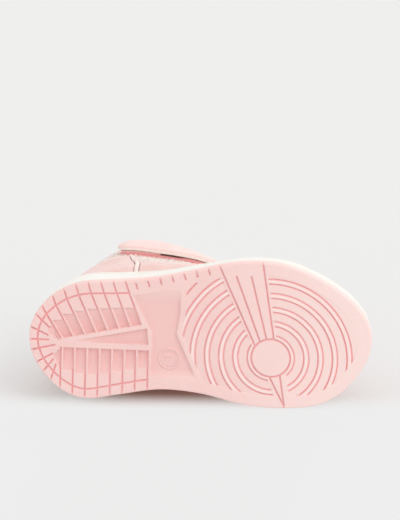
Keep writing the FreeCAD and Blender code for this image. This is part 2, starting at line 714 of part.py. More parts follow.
def hinge_slot(turn):
    """Thin flat cutter across the strap at an angle, square to the ankle there."""
    low, high = hinge_line(turn)
    up = (high - low).normalize()
    angle, level = strap_place(turn, turn + 1)(0.0, 0.5)
    inward = last_point(angle, level, 6.0) - last_point(angle, level, -6.0)
    inward = (inward - up * inward.dot(up)).normalize()
    normal = up.cross(inward)
    reach, depth = 30.0, 8.0
    corner = (low + high) * 0.5 - up * reach - inward * depth - normal * (HINGE_GAP / 2)
    points = [corner, corner + up * 2 * reach, corner + up * 2 * reach + inward * 2 * depth,
              corner + inward * 2 * depth]
    return Part.Face(Part.makePolygon(points + points[:1])).extrude(normal * HINGE_GAP)


def make_strap():
    parts = {}
    skin = strap_layer(STRAP_BACKING + GLUE_GAP, STRAP_BACKING + GLUE_GAP + STRAP_SKIN)
    backing = strap_layer(0.0, STRAP_BACKING)
    spare = 5.0                # degrees past each fold, cut away by the slots
    slots = [hinge_slot(STRAP_TIP_HINGE), hinge_slot(STRAP_HINGE)]
    reaches = {"strap_tip": (STRAP_TIP_END, STRAP_TIP_HINGE + spare, 16),
               "strap_band": (STRAP_TIP_HINGE - spare, STRAP_HINGE + spare, 40),
               "strap_anchor": (STRAP_HINGE - spare, STRAP_ANCHOR_END, 12)}
    for name, (start, end, steps) in reaches.items():
        for layer, (outer, inner) in (("skin", skin), ("backing", backing)):
            pieces = patch(strap_place(start, end), outer, inner, steps, 8).cut(slots).Solids
            parts[name + "_" + layer] = max(pieces, key=lambda solid: solid.Volume)

    hook_outer = strap_standoff(STRAP_TIP_HINGE) - GLUE_GAP
    hook_inner = hook_outer - PATCH_THICKNESS
    inset = 0.12               # share of the strap's width left bare at each edge of the hooks

    def hook_place(s, t):
        return strap_place(STRAP_TIP_END + 3, STRAP_TIP_HINGE - 3)(s, inset + (1 - 2 * inset) * t)

    def loop_place(s, t):
        return strap_place(STRAP_TIP_END + 1, STRAP_TIP_HINGE + 20)(s, 0.04 + 0.92 * t)

    parts["hook_patch"] = patch(hook_place, -hook_outer, -hook_inner)
    parts["loop_patch"] = patch(loop_place, -(hook_inner - HINGE_CLEARANCE), PANEL_OUTER - GLUE_GAP)
    return parts


# ---------------------------------------------------------------- assembly
def build():
    parts = {}
    parts.update(make_sole_unit())
    parts.update(make_upper())
    parts.update(make_throat())
    parts.update(make_strap())
    return parts


def centred(parts):
    """Moves the model so that its box stands on z = 0 with its middle over the origin."""
    box = Part.makeCompound(list(parts.values())).BoundBox
    shift = Vector(-(box.XMin + box.XMax) / 2, -(box.YMin + box.YMax) / 2, -box.ZMin)
    for shape in parts.values():
        shape.translate(shift)
    return shift


parts = build()
shift = centred(parts)
os.makedirs("parts", exist_ok=True)
for name, shape in parts.items():
    shape.exportStep("parts/" + name + ".step")
print("shift", [round(c, 3) for c in shift])
for label, turn in (("strap_tip", STRAP_TIP_HINGE), ("strap_open", STRAP_HINGE)):
    low, high = [p + shift for p in hinge_line(turn)]
    print(label, [round(c, 3) for c in low], [round(c, 3) for c in high])
tongue_low = last_point(180.0, TONGUE_SPLIT, TONGUE_CROWN_DEPTH) + shift
print("tongue_tilt", [round(c, 3) for c in tongue_low])
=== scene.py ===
"""Looks of the toddler's high-top bootie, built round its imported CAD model.

Lengths in the shape sections are millimetres in the CAD script's own frame; place() moves them
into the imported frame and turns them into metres.
"""
import math

import bpy
import numpy as np
from mathutils import Matrix, Vector, kdtree


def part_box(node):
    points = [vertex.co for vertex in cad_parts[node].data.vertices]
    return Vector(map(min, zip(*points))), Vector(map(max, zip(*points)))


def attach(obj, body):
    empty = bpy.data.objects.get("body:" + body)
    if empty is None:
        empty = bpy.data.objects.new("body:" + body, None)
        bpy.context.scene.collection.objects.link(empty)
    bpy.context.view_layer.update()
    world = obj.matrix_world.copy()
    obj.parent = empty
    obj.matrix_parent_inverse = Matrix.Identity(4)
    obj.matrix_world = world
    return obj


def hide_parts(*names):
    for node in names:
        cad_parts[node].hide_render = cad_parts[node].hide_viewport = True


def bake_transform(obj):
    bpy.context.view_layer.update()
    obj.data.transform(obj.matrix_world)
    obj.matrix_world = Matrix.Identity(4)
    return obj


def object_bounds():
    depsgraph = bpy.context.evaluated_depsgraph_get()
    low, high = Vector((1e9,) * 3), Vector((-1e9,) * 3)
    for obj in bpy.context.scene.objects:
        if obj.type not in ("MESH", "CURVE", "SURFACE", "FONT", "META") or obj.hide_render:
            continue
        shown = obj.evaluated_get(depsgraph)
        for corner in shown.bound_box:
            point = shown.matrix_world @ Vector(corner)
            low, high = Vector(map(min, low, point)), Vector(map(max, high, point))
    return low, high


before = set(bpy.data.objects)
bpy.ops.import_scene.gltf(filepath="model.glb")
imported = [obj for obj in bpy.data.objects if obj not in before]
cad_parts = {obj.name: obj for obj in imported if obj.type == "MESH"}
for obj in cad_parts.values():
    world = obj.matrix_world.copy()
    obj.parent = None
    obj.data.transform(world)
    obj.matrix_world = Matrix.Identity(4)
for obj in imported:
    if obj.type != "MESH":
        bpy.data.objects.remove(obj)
cad_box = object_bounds()

# ---------------------------------------------------------------- sizes shared with the CAD script
SOLE_HEEL_X = -77.0
SOLE_LENGTH = 152.5
SOLE_HALF_WIDTHS = (41.0, 38.3, 30.3, 26.4, 28.2, 33.4, 37.6, 40.2, 38.5)
SOLE_SWING = (-2.0, -3.1, -1.5, 0.5, 1.4, 0.6, -0.6, -2.9, -2.0)
OUTSOLE_THICKNESS = 4.5
CUP_WALL = 3.6
CUP_FLOOR = 1.8
CUP_TOP_HEIGHTS = (21.0, 20.5, 19.0, 15.8, 14.2, 14.2, 15.5)
CUP_LEAN_HEEL = 0.3
CUP_LEAN_FORE = 2.2
WEDGE_TOP_HEEL = 13.8
WEDGE_TOP_TOE = 9.8
BOARD_THICKNESS = 1.2
FOOTBED_THICKNESS = 3.0
GLUE_GAP = 0.1
PADDING_GAP = 0.25
OVERLAY_THICKNESS = 1.2
PANEL_THICKNESS = 1.5
STIFFENER_THICKNESS = 1.2
LINING_THICKNESS = 2.0
COLLAR_PADDING = 1.4
TONGUE_THICKNESS = 4.0
SEAM_GAP = 0.3
# height at heel, height at front, heel x, front x, half widths heel to front
FREE_GIRTHS = (
    (26.0, 26.0, -74.6, 70.5, (36.0, 30.0, 25.2, 33.0, 33.5)),
    (33.0, 34.0, -74.8, 65.0, (34.0, 30.0, 24.2, 30.8, 31.0)),
    (39.0, 40.0, -74.3, 54.0, (30.5, 29.5, 24.0, 25.5, 23.0)),
    (46.0, 48.0, -73.3, 37.0, (26.5, 29.0, 23.8, 22.5, 19.5)),
    (55.0, 59.0, -72.2, 18.5, (22.5, 27.2, 23.8, 22.5, 21.0)),
    (66.0, 71.0, -71.2, 9.0, (19.5, 25.3, 24.2, 21.8, 21.5)),
    (78.0, 83.0, -71.4, 4.5, (19.0, 23.6, 23.2, 21.4, 21.5)),
    (88.0, 95.0, -71.6, 3.5, (19.5, 22.8, 23.2, 21.8, 22.5)),
)
ANKLE_SWING = -1.5
ANKLE_LEAN = -0.4
TOP_LEVEL = 9.0
THROAT_LEVEL = 5.0
THROAT_HALF_ANGLES = (20.0, 27.0, 33.0, 37.0, 40.0)
QUARTER_FRONT_ANGLES = (100.0, 108.0, 128.0, 180.0 - THROAT_HALF_ANGLES[0])
HEEL_OVERLAY_ANGLE = 65.3
HEEL_OVERLAY_RAKE = 0.45
ANKLE_RAKE = 2.2                # more rake above the level where the ankle narrows
HEEL_OVERLAY_TOP = 5.2
FOXING_TOP = 2.9
MUDGUARD_ANGLE = 116.0
MUDGUARD_TOP = 2.7
EYESTAY_WIDTH = 26.0
PIPING_WIDTH = 1.7
SKIVING = 0.35
PANEL_OUTER = OVERLAY_THICKNESS + GLUE_GAP
PANEL_INNER = PANEL_OUTER + PANEL_THICKNESS
MIDDLE_OUTER = PANEL_INNER + PADDING_GAP
TONGUE_SPLIT = 6.1
TONGUE_TOP = 9.5
TONGUE_SIDE_GAP = 2.5
TONGUE_CROWN_DEPTH = 1.6
COLLAR_ROLL_HEIGHT = 2.4
ELASTIC_LEVELS = (5.14, 5.41, 5.68)
ELASTIC_HALF_WIDTH = 0.095
STRAP_WIDTH_LEVELS = 2.0
STRAP_THICKNESS = 2.3
STRAP_STANDOFF_ANCHOR = 0.3
STRAP_STANDOFF_TIP = 1.35
STRAP_ANCHOR_END = 236.0
STRAP_HINGE = 222.0
STRAP_TIP_HINGE = 95.0
STRAP_TIP_END = 67.0
STRAP_BOTTOM_LEVELS = (6.35, 6.0, 5.9, 6.1, 6.3)
TIP_ROUNDING = 7.0
PATCH_THICKNESS = 0.5
HINGE_CLEARANCE = 0.12
SIDES = {"lateral": -1, "medial": 1}


# ---------------------------------------------------------------- curves through values
def smooth(values, share):
    """Catmull-Rom curve through equally spaced values, for shares from 0 to 1."""
    values = np.asarray(values, float)
    last = len(values) - 1
    at = np.clip(share, 0.0, 1.0) * last
    i = np.minimum(at.astype(int), last - 1)
    t = at - i
    padded = np.concatenate([[2 * values[0] - values[1]], values, [2 * values[-1] - values[-2]]])
    before, a, b, after = (padded[i + k] for k in range(4))
    return 0.5 * (2 * a + (b - before) * t + (2 * before - 5 * a + 4 * b - after) * t ** 2
                  + (3 * a - before - 3 * b + after) * t ** 3)


def monotone(values, at):
    """Monotone cubic through values[0], values[1]... at knots 0, 1...; values may be arrays like at."""
    values = np.asarray(values, float)
    if values.ndim == 1:
        values = np.broadcast_to(values.reshape((-1,) + (1,) * np.ndim(at)), (len(values),) + np.shape(at))
    last = len(values) - 1
    at = np.clip(at, 0, last)
    i = np.minimum(at.astype(int), last - 1)
    rises = values[1:] - values[:-1]
    products = rises[:-1] * rises[1:]
    sums = rises[:-1] + rises[1:]
    inner = np.where(products > 0, 2 * products / np.where(sums == 0, 1, sums), 0.0)
    slopes = np.concatenate([rises[:1], inner, rises[-1:]])

    def pick(array, index):
        return np.take_along_axis(array, index[None], axis=0)[0]

    t = at - i
    return (pick(values, i) * (2 * t ** 3 - 3 * t ** 2 + 1) + pick(values, i + 1) * (3 * t ** 2 - 2 * t ** 3)
            + pick(slopes, i) * (t ** 3 - 2 * t ** 2 + t) + pick(slopes, i + 1) * (t ** 3 - t ** 2))


def ramp(value, start, end):
    """Smooth step from 0 at start to 1 at end."""
    t = np.clip((value - start) / (end - start), 0.0, 1.0)
    return t * t * (3 - 2 * t)


# ---------------------------------------------------------------- the sole outline and the last
def sole_point(angle, inset=0.0):
    """Points of the sole's outline: angle 0 is the heel, 180 the toe, negative is lateral."""
    angle = np.asarray(angle, float)

    def bare(a):
        turn = np.radians(a)
        share = (1 - np.cos(turn)) / 2
        across = smooth(SOLE_HALF_WIDTHS, share) * np.sin(turn) - smooth(SOLE_SWING, share)
        return np.stack([SOLE_HEEL_X + SOLE_LENGTH * share, across], -1)

    run = bare(angle + 0.5) - bare(angle - 0.5)
    run /= np.linalg.norm(run, axis=-1, keepdims=True)
    inset = np.asarray(inset, float)[..., None]
    return bare(angle) + np.stack([run[..., 1], -run[..., 0]], -1) * inset


def cup_top(x):
    return smooth(CUP_TOP_HEIGHTS, (x - SOLE_HEEL_X) / SOLE_LENGTH)


def board_top(x):
    slope = (WEDGE_TOP_TOE - WEDGE_TOP_HEEL) / SOLE_LENGTH
    return WEDGE_TOP_HEEL + slope * (x - SOLE_HEEL_X) + GLUE_GAP + BOARD_THICKNESS


def girths(angle):
    """Points of every girth at the given angles, as an array (girth, angle..., axis)."""
    turn = np.radians(angle)
    share = (1 - np.cos(turn)) / 2
    xy = sole_point(angle, CUP_WALL + GLUE_GAP)
    rows = [np.stack([xy[..., 0], xy[..., 1], height(xy[..., 0])], -1)
            for height in (lambda x: board_top(x) + GLUE_GAP, lambda x: cup_top(x) + 0.3)]
    for level, (z_heel, z_front, x_heel, x_front, halves) in enumerate(FREE_GIRTHS, 2):
        ankle = min((level - 1) / 4.0, 1.0)
        lean = ANKLE_SWING + ANKLE_LEAN * max(level - THROAT_LEVEL, 0.0)
        swing = (1 - ankle) * smooth(SOLE_SWING, share) + ankle * lean
        rows.append(np.stack([x_heel + (x_front - x_heel) * share,
                              -swing + smooth(halves, share) * np.sin(turn),
                              z_heel + (z_front - z_heel) * share], -1))
    return np.array(rows)


def bare_point(angle, level):
    stack = girths(angle)
    over = np.maximum(level - TOP_LEVEL, 0.0)[..., None]
    axes = [monotone(stack[..., axis], level) for axis in range(3)]
    return np.stack(axes, -1) + (stack[-1] - stack[-2]) * over


def last_frame(angle, level):
    """Points of the last surface and the outward directions there."""
    step = 0.04
    girth_way = bare_point(angle + 1.0, level) - bare_point(angle - 1.0, level)
    up_way = bare_point(angle, level + step) - bare_point(angle, np.maximum(level - step, 0.0))
    outward = np.cross(up_way, girth_way)
    return bare_point(angle, level), outward / np.linalg.norm(outward, axis=-1, keepdims=True)


def last_point(angle, level, depth):
    point, outward = last_frame(angle, level)
    return point - outward * np.asarray(depth, float)[..., None]


def heel_edge(level):
    """Angle where the heel overlay ends."""
    low = HEEL_OVERLAY_RAKE * np.maximum(level - 2.0, 0.0)
    return HEEL_OVERLAY_ANGLE + low + ANKLE_RAKE * np.maximum(level - 4.0, 0.0)


def piping_edge(level):
    """Angle where the piping along the heel overlay ends."""
    return heel_edge(level) + PIPING_WIDTH


def throat_angle(level):
    return monotone(THROAT_HALF_ANGLES, np.minimum(level, TOP_LEVEL) - THROAT_LEVEL)


def throat_edge(level, inset=0.0):
    """Angle from the heel of the line that runs inset behind the throat's edge."""
    return 180 - throat_angle(level) - inset


def facing_back(level):
    """Angle where the throat facing starts."""
    return throat_edge(level, EYESTAY_WIDTH)


def quarter_front(level):
    below = monotone(QUARTER_FRONT_ANGLES, level / THROAT_LEVEL * (len(QUARTER_FRONT_ANGLES) - 1))
    return np.where(level >= THROAT_LEVEL, throat_edge(level), below)


def lining_front(level):
    share = np.clip((level - THROAT_LEVEL + 0.8) / 0.8, 0.0, 1.0)
    return (180.0 - SEAM_GAP) * (1 - share) + throat_edge(np.maximum(level, THROAT_LEVEL)) * share


def lining_depth(level):
    plain = OVERLAY_THICKNESS + PANEL_THICKNESS + STIFFENER_THICKNESS + GLUE_GAP + 2 * PADDING_GAP
    return plain + COLLAR_PADDING * monotone((0.0, 0.0, 1.0, 1.0, 0.3), np.maximum(level - 5.0, 0.0))


# ---------------------------------------------------------------- meshes
def packed_shift():
    """From the CAD script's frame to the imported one, found from where the outsole is."""
    low, high = (1000 * np.array(corner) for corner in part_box("outsole"))
    outline = sole_point(np.linspace(-180.0, 180.0, 1441))
    return (low + high) / 2 * (1, 1, 0) - np.append((outline.min(0) + outline.max(0)) / 2, 0.0)


SHIFT = packed_shift()


def place(points):
    return (np.asarray(points, float).reshape(-1, 3) + SHIFT) * 0.001


def grid_faces(rows, columns, closed=False):
    """Quads of a grid of points stored row by row; closed joins the last column to the first."""
    index = np.arange(rows * columns).reshape(rows, columns)
    if closed:
        index = np.concatenate([index, index[:, :1]], 1)
    corners = (index[:-1, :-1], index[1:, :-1], index[1:, 1:], index[:-1, 1:])
    return np.stack([c.ravel() for c in corners], -1)


def new_piece(name, points, faces, materials, body="root", slot="", replaces=(), marks=None, values=None):
    """Smooth-shaded object from points in mm; values are floats stored on the points by name."""
    mesh = bpy.data.meshes.new(name)
    mesh.from_pydata(place(points).tolist(), [], faces.tolist() if hasattr(faces, "tolist") else faces)
    mesh.polygons.foreach_set("use_smooth", [True] * len(mesh.polygons))
    for item in materials:
        mesh.materials.append(item)
    if marks is not None:
        mesh.polygons.foreach_set("material_index", np.asarray(marks, int).tolist())
    for key, array in (values or {}).items():
        layer = mesh.attributes.new(key, "FLOAT", "POINT")
        layer.data.foreach_set("value", np.asarray(array, np.float32).ravel())
    mesh.update()
    piece = bpy.data.objects.new(name, mesh)
    bpy.context.scene.collection.objects.link(piece)
    if body:
        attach(piece, body)
    if replaces:
        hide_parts(*replaces)
    return piece


def facing_out(points, faces):
    """The quads of a closed mesh, turned over where they enclose it inside out."""
    a, b, c, d = (points[faces[:, k]] for k in range(4))
    volume = np.einsum("ij,ij->", a, np.cross(b, c)) + np.einsum("ij,ij->", a, np.cross(c, d))
    return faces if volume > 0 else faces[:, ::-1]


def shell_mesh(outer, inner):
    """Points and faces of a closed shell between two grids of one size; outer faces come first."""
    rows, columns = outer.shape[:2]
    index = np.arange(rows * columns).reshape(rows, columns)
    far = index + rows * columns
    sheet = grid_faces(rows, columns)
    edges = (index[:, 0], index[-1, :], index[::-1, -1], index[0, ::-1])
    far_edges = (far[:, 0], far[-1, :], far[::-1, -1], far[0, ::-1])
    walls = [np.stack([e[1:], e[:-1], f[:-1], f[1:]], -1) for e, f in zip(edges, far_edges)]
    points = np.concatenate([outer.reshape(-1, 3), inner.reshape(-1, 3)])
    return points, facing_out(points, np.concatenate([sheet, sheet[:, ::-1] + rows * columns] + walls))


def edged_shares(length, pitch, roll):
    """Shares along a side of that length, closer together over a rolled edge, and the roll's drop."""
    bends = np.radians((0, 25, 50, 72, 90))
    near = roll * (1 - np.cos(bends)) / length
    drop = 1 - np.sin(bends)
    count = max(int(length / pitch), 4)
    middle = np.linspace(near[-1], 1 - near[-1], count + 1)[1:-1]
    return (np.concatenate([near, middle, 1 - near[::-1]]),
            np.concatenate([drop, np.zeros(count - 1), drop[::-1]]))


def panel(name, where, outer, inner, materials, pitch=0.9, roll=0.45, relief=None, inner_relief=None,
          **options):
    """Closed panel on the last, between two depths, with rolled edges.

    where maps shares (s, t) to (angle, level); depths are numbers or functions of (s, t, angle, level);
    relief gives the height of the surface's detail from (points, angle, level).
    """
    half = np.array([0.5])
    line = np.linspace(0, 1, 41)
    across = bare_point(*where(line, half.repeat(41)))
    up = bare_point(*where(half.repeat(41), line))
    lengths = [np.linalg.norm(np.diff(side, axis=0), axis=-1).sum() for side in (across, up)]
    s, s_drop = edged_shares(lengths[0], pitch, roll)
    t, t_drop = edged_shares(lengths[1], pitch, roll)
    s, t = np.meshgrid(s, t, indexing="ij")
    drop = roll * np.maximum(s_drop[:, None], t_drop[None, :])
    angle, level = where(s, t)
    point, outward = last_frame(angle, level)
    sheets, heights = [], []
    for depth, detail, turned in ((outer, relief, 1), (inner, inner_relief, -1)):
        value = depth(s, t, angle, level) if callable(depth) else np.full(s.shape, float(depth))
        height = detail(point, angle, level) if detail else np.zeros(s.shape)
        flat = 1 - drop / max(roll, 1e-6)
        sheets.append(point - outward * (value + turned * (drop - height * flat))[..., None])
        heights.append(height)
    points, faces = shell_mesh(*sheets)
    count = (s.shape[0] - 1) * (s.shape[1] - 1)
    marks = [0] * count + [len(materials) - 1] * (len(faces) - count)
    return new_piece(name, points, faces, materials, marks=marks,
                     values={"height": np.concatenate([h.ravel() for h in heights])}, **options)


def side_strip(side, back, front, bottom, top):
    def where(s, t):
        level = bottom + ((top(s) if callable(top) else top) - bottom) * t
        a = back(level) if callable(back) else back
        b = front(level) if callable(front) else front
        return side * (a + (b - a) * s), level
    return where


def round_heel(half_angle, bottom, top):
    def where(s, t):
        level = bottom + (top - bottom) * t
        half = half_angle(level) if callable(half_angle) else half_angle
        return half * (2 * s - 1), level
    return where


def round_toe(half_angle, bottom, top):
    def where(s, t):
        angle, level = round_heel(half_angle, bottom, top)(s, t)
        return 180.0 + angle, level
    return where


# ---------------------------------------------------------------- surface detail
def cell_noise(points, pitch, seed):
    """Distances, in pitches, to the nearest and second nearest of one random point per cell."""
    at = points / pitch
    base = np.floor(at).astype(np.int64)
    near = np.full(points.shape[:-1], 9.0)
    second = near.copy()
    for step in np.ndindex(3, 3, 3):
        cell = base + np.array(step) - 1
        code = (cell[..., 0] * 73856093) ^ (cell[..., 1] * 19349663) ^ (cell[..., 2] * 83492791)
        code = code ^ (seed * 2654435)
        spread = np.stack([((code * k) >> 9) % 1024 / 1024.0 for k in (9781, 6271, 26699)], -1)
        distance = np.linalg.norm(cell + spread - at, axis=-1)
        second = np.minimum(second, np.maximum(near, distance))
        near = np.minimum(near, distance)
    return near, second


def curls(points, pitch, seed):
    """Height from 0 to 1 of curled tufts: round clumps with a whorl of finer strands on them."""
    near, second = cell_noise(points, pitch, seed)
    clump = np.sqrt(np.clip(second - near, 0.0, 0.6) / 0.6)
    fine, next_fine = cell_noise(points, pitch * 0.42, seed + 7)
    strand = np.sqrt(np.clip(next_fine - fine, 0.0, 0.5) / 0.5)
    return 0.68 * clump + 0.32 * strand


def creases(points, pitch, seed):
    """Height from 0 to 1 of fine grain."""
    near, second = cell_noise(points, pitch, seed)
    return np.clip((second - near) / 0.35, 0.0, 1.0)


# ---------------------------------------------------------------- materials
def linear(red, green, blue):
    """Scene colour of an sRGB colour given from 0 to 255."""
    channels = (red, green, blue)
    return tuple(((c / 255 + 0.055) / 1.055) ** 2.4 if c > 10 else c / 3294.6 for c in channels) + (1.0,)


class Finish:
    """A Principled material whose nodes are added step by step."""

    def __init__(self, name, colour, roughness, **sockets):
        self.material = bpy.data.materials.new(name)
        self.material.use_nodes = True
        self.tree = self.material.node_tree
        self.shader = self.tree.nodes["Principled BSDF"]
        self.shader.inputs["Base Color"].default_value = colour
        self.shader.inputs["Roughness"].default_value = roughness
        for key, value in sockets.items():
            self.shader.inputs[key.replace("_", " ")].default_value = value
        self.coordinates = self.tree.nodes.new("ShaderNodeTexCoord").outputs["Object"]
        self.colour = colour
        self.normal = None

    def node(self, kind, inputs=None, **settings):
        node = self.tree.nodes.new(kind)
        for key, value in settings.items():
            setattr(node, key, value)
        for key, value in (inputs or {}).items():
            if isinstance(value, bpy.types.NodeSocket):
                self.tree.links.new(value, node.inputs[key])
            else:
                node.inputs[key].default_value = value
        return node

    def noise(self, size, detail=3.0, stretch=(1, 1, 1)):
        """Noise whose features are about size mm across."""
        mapped = self.node("ShaderNodeMapping", {"Vector": self.coordinates, "Scale": stretch})
        return self.node("ShaderNodeTexNoise", {"Vector": mapped.outputs[0], "Scale": 1000.0 / size,
                                                "Detail": detail, "Roughness": 0.6}).outputs[0]

    def cells(self, size, feature="F1"):
        texture = self.node("ShaderNodeTexVoronoi", {"Vector": self.coordinates, "Scale": 1000.0 / size},
                            feature=feature)
        return texture.outputs["Distance"]

    def waves(self, size, direction):
        texture = self.node("ShaderNodeTexWave", {"Vector": self.coordinates, "Scale": 314.0 / size,
                                                  "Distortion": 0.6, "Detail": 1.0, "Detail Scale": 2.0},
                            bands_direction=direction)
        return texture.outputs["Fac"]

    def stored(self, name):
        """A value that the piece's points carry."""
        return self.node("ShaderNodeAttribute", attribute_name=name).outputs["Fac"]

    def product(self, first, second):
        return self.node("ShaderNodeMath", {0: first, 1: second}, operation="MULTIPLY").outputs[0]

    def sharpen(self, socket, low, high):
        """Smooth step from 0 at low to 1 at high."""
        return self.node("ShaderNodeMapRange", {"Value": socket, "From Min": low, "From Max": high},
                         interpolation_type="SMOOTHSTEP").outputs[0]

    def tint(self, factor, colour):
        """Mixes a colour over what is there."""
        mix = self.node("ShaderNodeMix", data_type="RGBA")
        self.tree.links.new(factor, mix.inputs[0])
        if isinstance(self.colour, bpy.types.NodeSocket):
            self.tree.links.new(self.colour, mix.inputs[6])
        else:
            mix.inputs[6].default_value = self.colour
        mix.inputs[7].default_value = colour
        self.colour = mix.outputs[2]
        self.tree.links.new(self.colour, self.shader.inputs["Base Color"])
        return self

    def bump(self, height, distance, strength=1.0):
        """Relief of the given distance in mm, on top of what is there."""
        inputs = {"Height": height, "Distance": distance * 0.001, "Strength": strength}
        if self.normal:
            inputs["Normal"] = self.normal
        self.normal = self.node("ShaderNodeBump", inputs).outputs[0]
        self.tree.links.new(self.normal, self.shader.inputs["Normal"])
        return self

    def vary_roughness(self, factor, low, high):
        mapped = self.node("ShaderNodeMapRange", {"Value": factor, "To Min": low, "To Max": high})
        self.tree.links.new(mapped.outputs[0], self.shader.inputs["Roughness"])
        return self


def make_materials():
    finishes = {}

    rubber = Finish("rubber_pink", linear(249, 213, 208), 0.5, Subsurface_Weight=0.12,
                    Subsurface_Radius=(0.004, 0.0015, 0.001), Specular_IOR_Level=0.4)
    rubber.tint(rubber.sharpen(rubber.noise(26.0, 2.0), 0.35, 0.75), linear(247, 206, 202))
    rubber.tint(rubber.sharpen(rubber.noise(0.9, 2.0), 0.5, 0.8), linear(251, 220, 216))
    # painted light: the tread is made lighter towards the toe, where the light falls brighter
    along_sole = rubber.node("ShaderNodeSeparateXYZ", {0: rubber.coordinates}).outputs[0]
    rubber.tint(rubber.sharpen(along_sole, -0.01, 0.075), linear(254, 225, 220))
    # painted highlight: the ridges between the ring pairs are lighter, as if catching the light
    rubber.tint(rubber.stored("ridge_highlight"), linear(255, 229, 224))
    # painted shade: the pockets and the waist recess are darker, as shade falls in them
    rubber.tint(rubber.stored("recess_shade"), linear(245, 199, 195))
    # painted shade: the grooves are darker, as shade falls in them
    rubber.tint(rubber.stored("groove"), linear(250, 182, 183))
    rubber.bump(rubber.noise(0.7, 4.0), 0.06, 0.5).vary_roughness(rubber.noise(5.0), 0.42, 0.6)
    finishes["rubber"] = rubber.material

    cup = Finish("rubber_white", linear(246, 243, 236), 0.42, Subsurface_Weight=0.08,
                 Subsurface_Radius=(0.003, 0.002, 0.0015))
    cup.tint(cup.sharpen(cup.noise(18.0), 0.4, 0.8), linear(243, 238, 230))
    # painted shade: the stitching channel is darker, as shade falls in it
    cup.tint(cup.stored("channel"), linear(228, 220, 210))
    cup.bump(cup.noise(0.6, 4.0), 0.03, 0.4).vary_roughness(cup.noise(7.0), 0.36, 0.52)
    finishes["cup"] = cup.material

    for key, colour, shade in (("synthetic", (245, 214, 208), (239, 200, 194)),
                               ("strap", (252, 224, 218), (247, 210, 205)),
                               ("piping", (253, 238, 233), (245, 220, 214))):
        leather = Finish("leather_" + key, linear(*colour), 0.48, Sheen_Weight=0.12, Sheen_Roughness=0.5,
                         Coat_Weight=0.06, Coat_Roughness=0.35)
        leather.tint(leather.sharpen(leather.noise(9.0), 0.35, 0.75), linear(*shade))
        leather.tint(leather.sharpen(leather.cells(0.75, "DISTANCE_TO_EDGE"), 0.12, 0.0), linear(*shade))
        leather.bump(leather.cells(0.75, "DISTANCE_TO_EDGE"), 0.1, 0.35)
        leather.bump(leather.noise(0.35, 3.0), 0.05, 0.3).vary_roughness(leather.noise(3.0), 0.42, 0.58)
        finishes[key] = leather.material

    for key, tips, shaded_roots in (("fleece_pink", (252, 236, 228), (236, 200, 192)),
                             ("fleece_cream", (250, 243, 234), (226, 208, 196)),
                             # the collar fleece is a darker copy of the fleece: painted shade on the collar
                             # roll
                             ("fleece_collar_shaded", (214, 190, 183), (166, 136, 128))):
        fleece = Finish(key, linear(*shaded_roots), 0.95, Sheen_Weight=0.35, Sheen_Roughness=0.4,
                        Specular_IOR_Level=0.15, Subsurface_Weight=0.1,
                        Subsurface_Radius=(0.002, 0.0012, 0.001))
        # painted shade: the fleece is darker deep in the pile and lighter on the tips of the curls
        fleece.tint(fleece.sharpen(fleece.stored("height"), 0.1, 0.75), linear(*tips))
        between = linear(*[(a + b) / 2 for a, b in zip(tips, shaded_roots)])
        fleece.tint(fleece.sharpen(fleece.noise(7.0), 0.5, 0.9), between)
        fleece.bump(fleece.noise(0.45, 5.0), 0.25, 0.8).bump(fleece.cells(0.5), 0.15, 0.5)
        finishes[key] = fleece.material

    felt = Finish("strap_backing", linear(252, 242, 236), 0.9, Sheen_Weight=0.25, Specular_IOR_Level=0.2)
    felt.tint(felt.sharpen(felt.noise(1.2), 0.45, 0.7), linear(243, 228, 220))
    felt.bump(felt.noise(0.3, 5.0), 0.12, 0.7)
    finishes["felt"] = felt.material

    for key, colour, shade, size in (("webbing", (246, 206, 203), (226, 168, 168), 1.1),
                                     ("elastic", (250, 214, 210), (228, 172, 172), 0.8)):
        woven = Finish(key, linear(*colour), 0.75, Sheen_Weight=0.2)
        crossing = woven.product(woven.waves(size, "DIAGONAL"), woven.waves(size * 0.8, "Z"))
        woven.tint(woven.sharpen(crossing, 0.5, 0.05), linear(*shade))
        # painted shade: the webbing and the elastic are darker in the hollows of their ribs
        woven.tint(woven.sharpen(woven.stored("height"), 0.5, 0.0), linear(*shade))
        woven.bump(crossing, 0.2, 0.7).bump(woven.noise(0.25), 0.05, 0.4)
        finishes[key] = woven.material

    thread = Finish("thread", linear(253, 232, 228), 0.6, Sheen_Weight=0.2)
    thread.tint(thread.sharpen(thread.noise(2.5), 0.4, 0.7), linear(247, 218, 213))
    thread.bump(thread.waves(0.35, "DIAGONAL"), 0.06, 0.7)
    finishes["thread"] = thread.material

    hooks = Finish("hook_tape", linear(244, 200, 198), 0.4)
    # painted shade and highlight: the hook tape is lighter on top of its relief and darker low in it
    hooks.tint(hooks.sharpen(hooks.stored("height"), 0.2, 0.8), linear(250, 222, 219))
    hooks.bump(hooks.noise(0.3), 0.05, 0.5)
    finishes["hooks"] = hooks.material

    loops = Finish("loop_tape", linear(238, 164, 164), 0.9, Sheen_Weight=0.3)
    # painted shade: the loop tape is darker deep in its pile and lighter on top
    loops.tint(loops.sharpen(loops.stored("height"), 0.15, 0.8), linear(248, 190, 188))
    loops.bump(loops.noise(0.3, 5.0), 0.2, 0.8)
    finishes["loops"] = loops.material

    for key, colour, shade, size, rough in (("foam", (244, 238, 224), (228, 220, 202), 1.0, 0.85),
                                            ("board", (214, 196, 166), (190, 170, 138), 2.2, 0.8),
                                            ("stiffener", (236, 232, 222), (216, 210, 198), 1.6, 0.6)):
        plain = Finish(key, linear(*colour), rough)
        plain.tint(plain.sharpen(plain.noise(size), 0.4, 0.7), linear(*shade))
        plain.bump(plain.cells(size), 0.15, 0.5)
        finishes[key] = plain.material
    return finishes


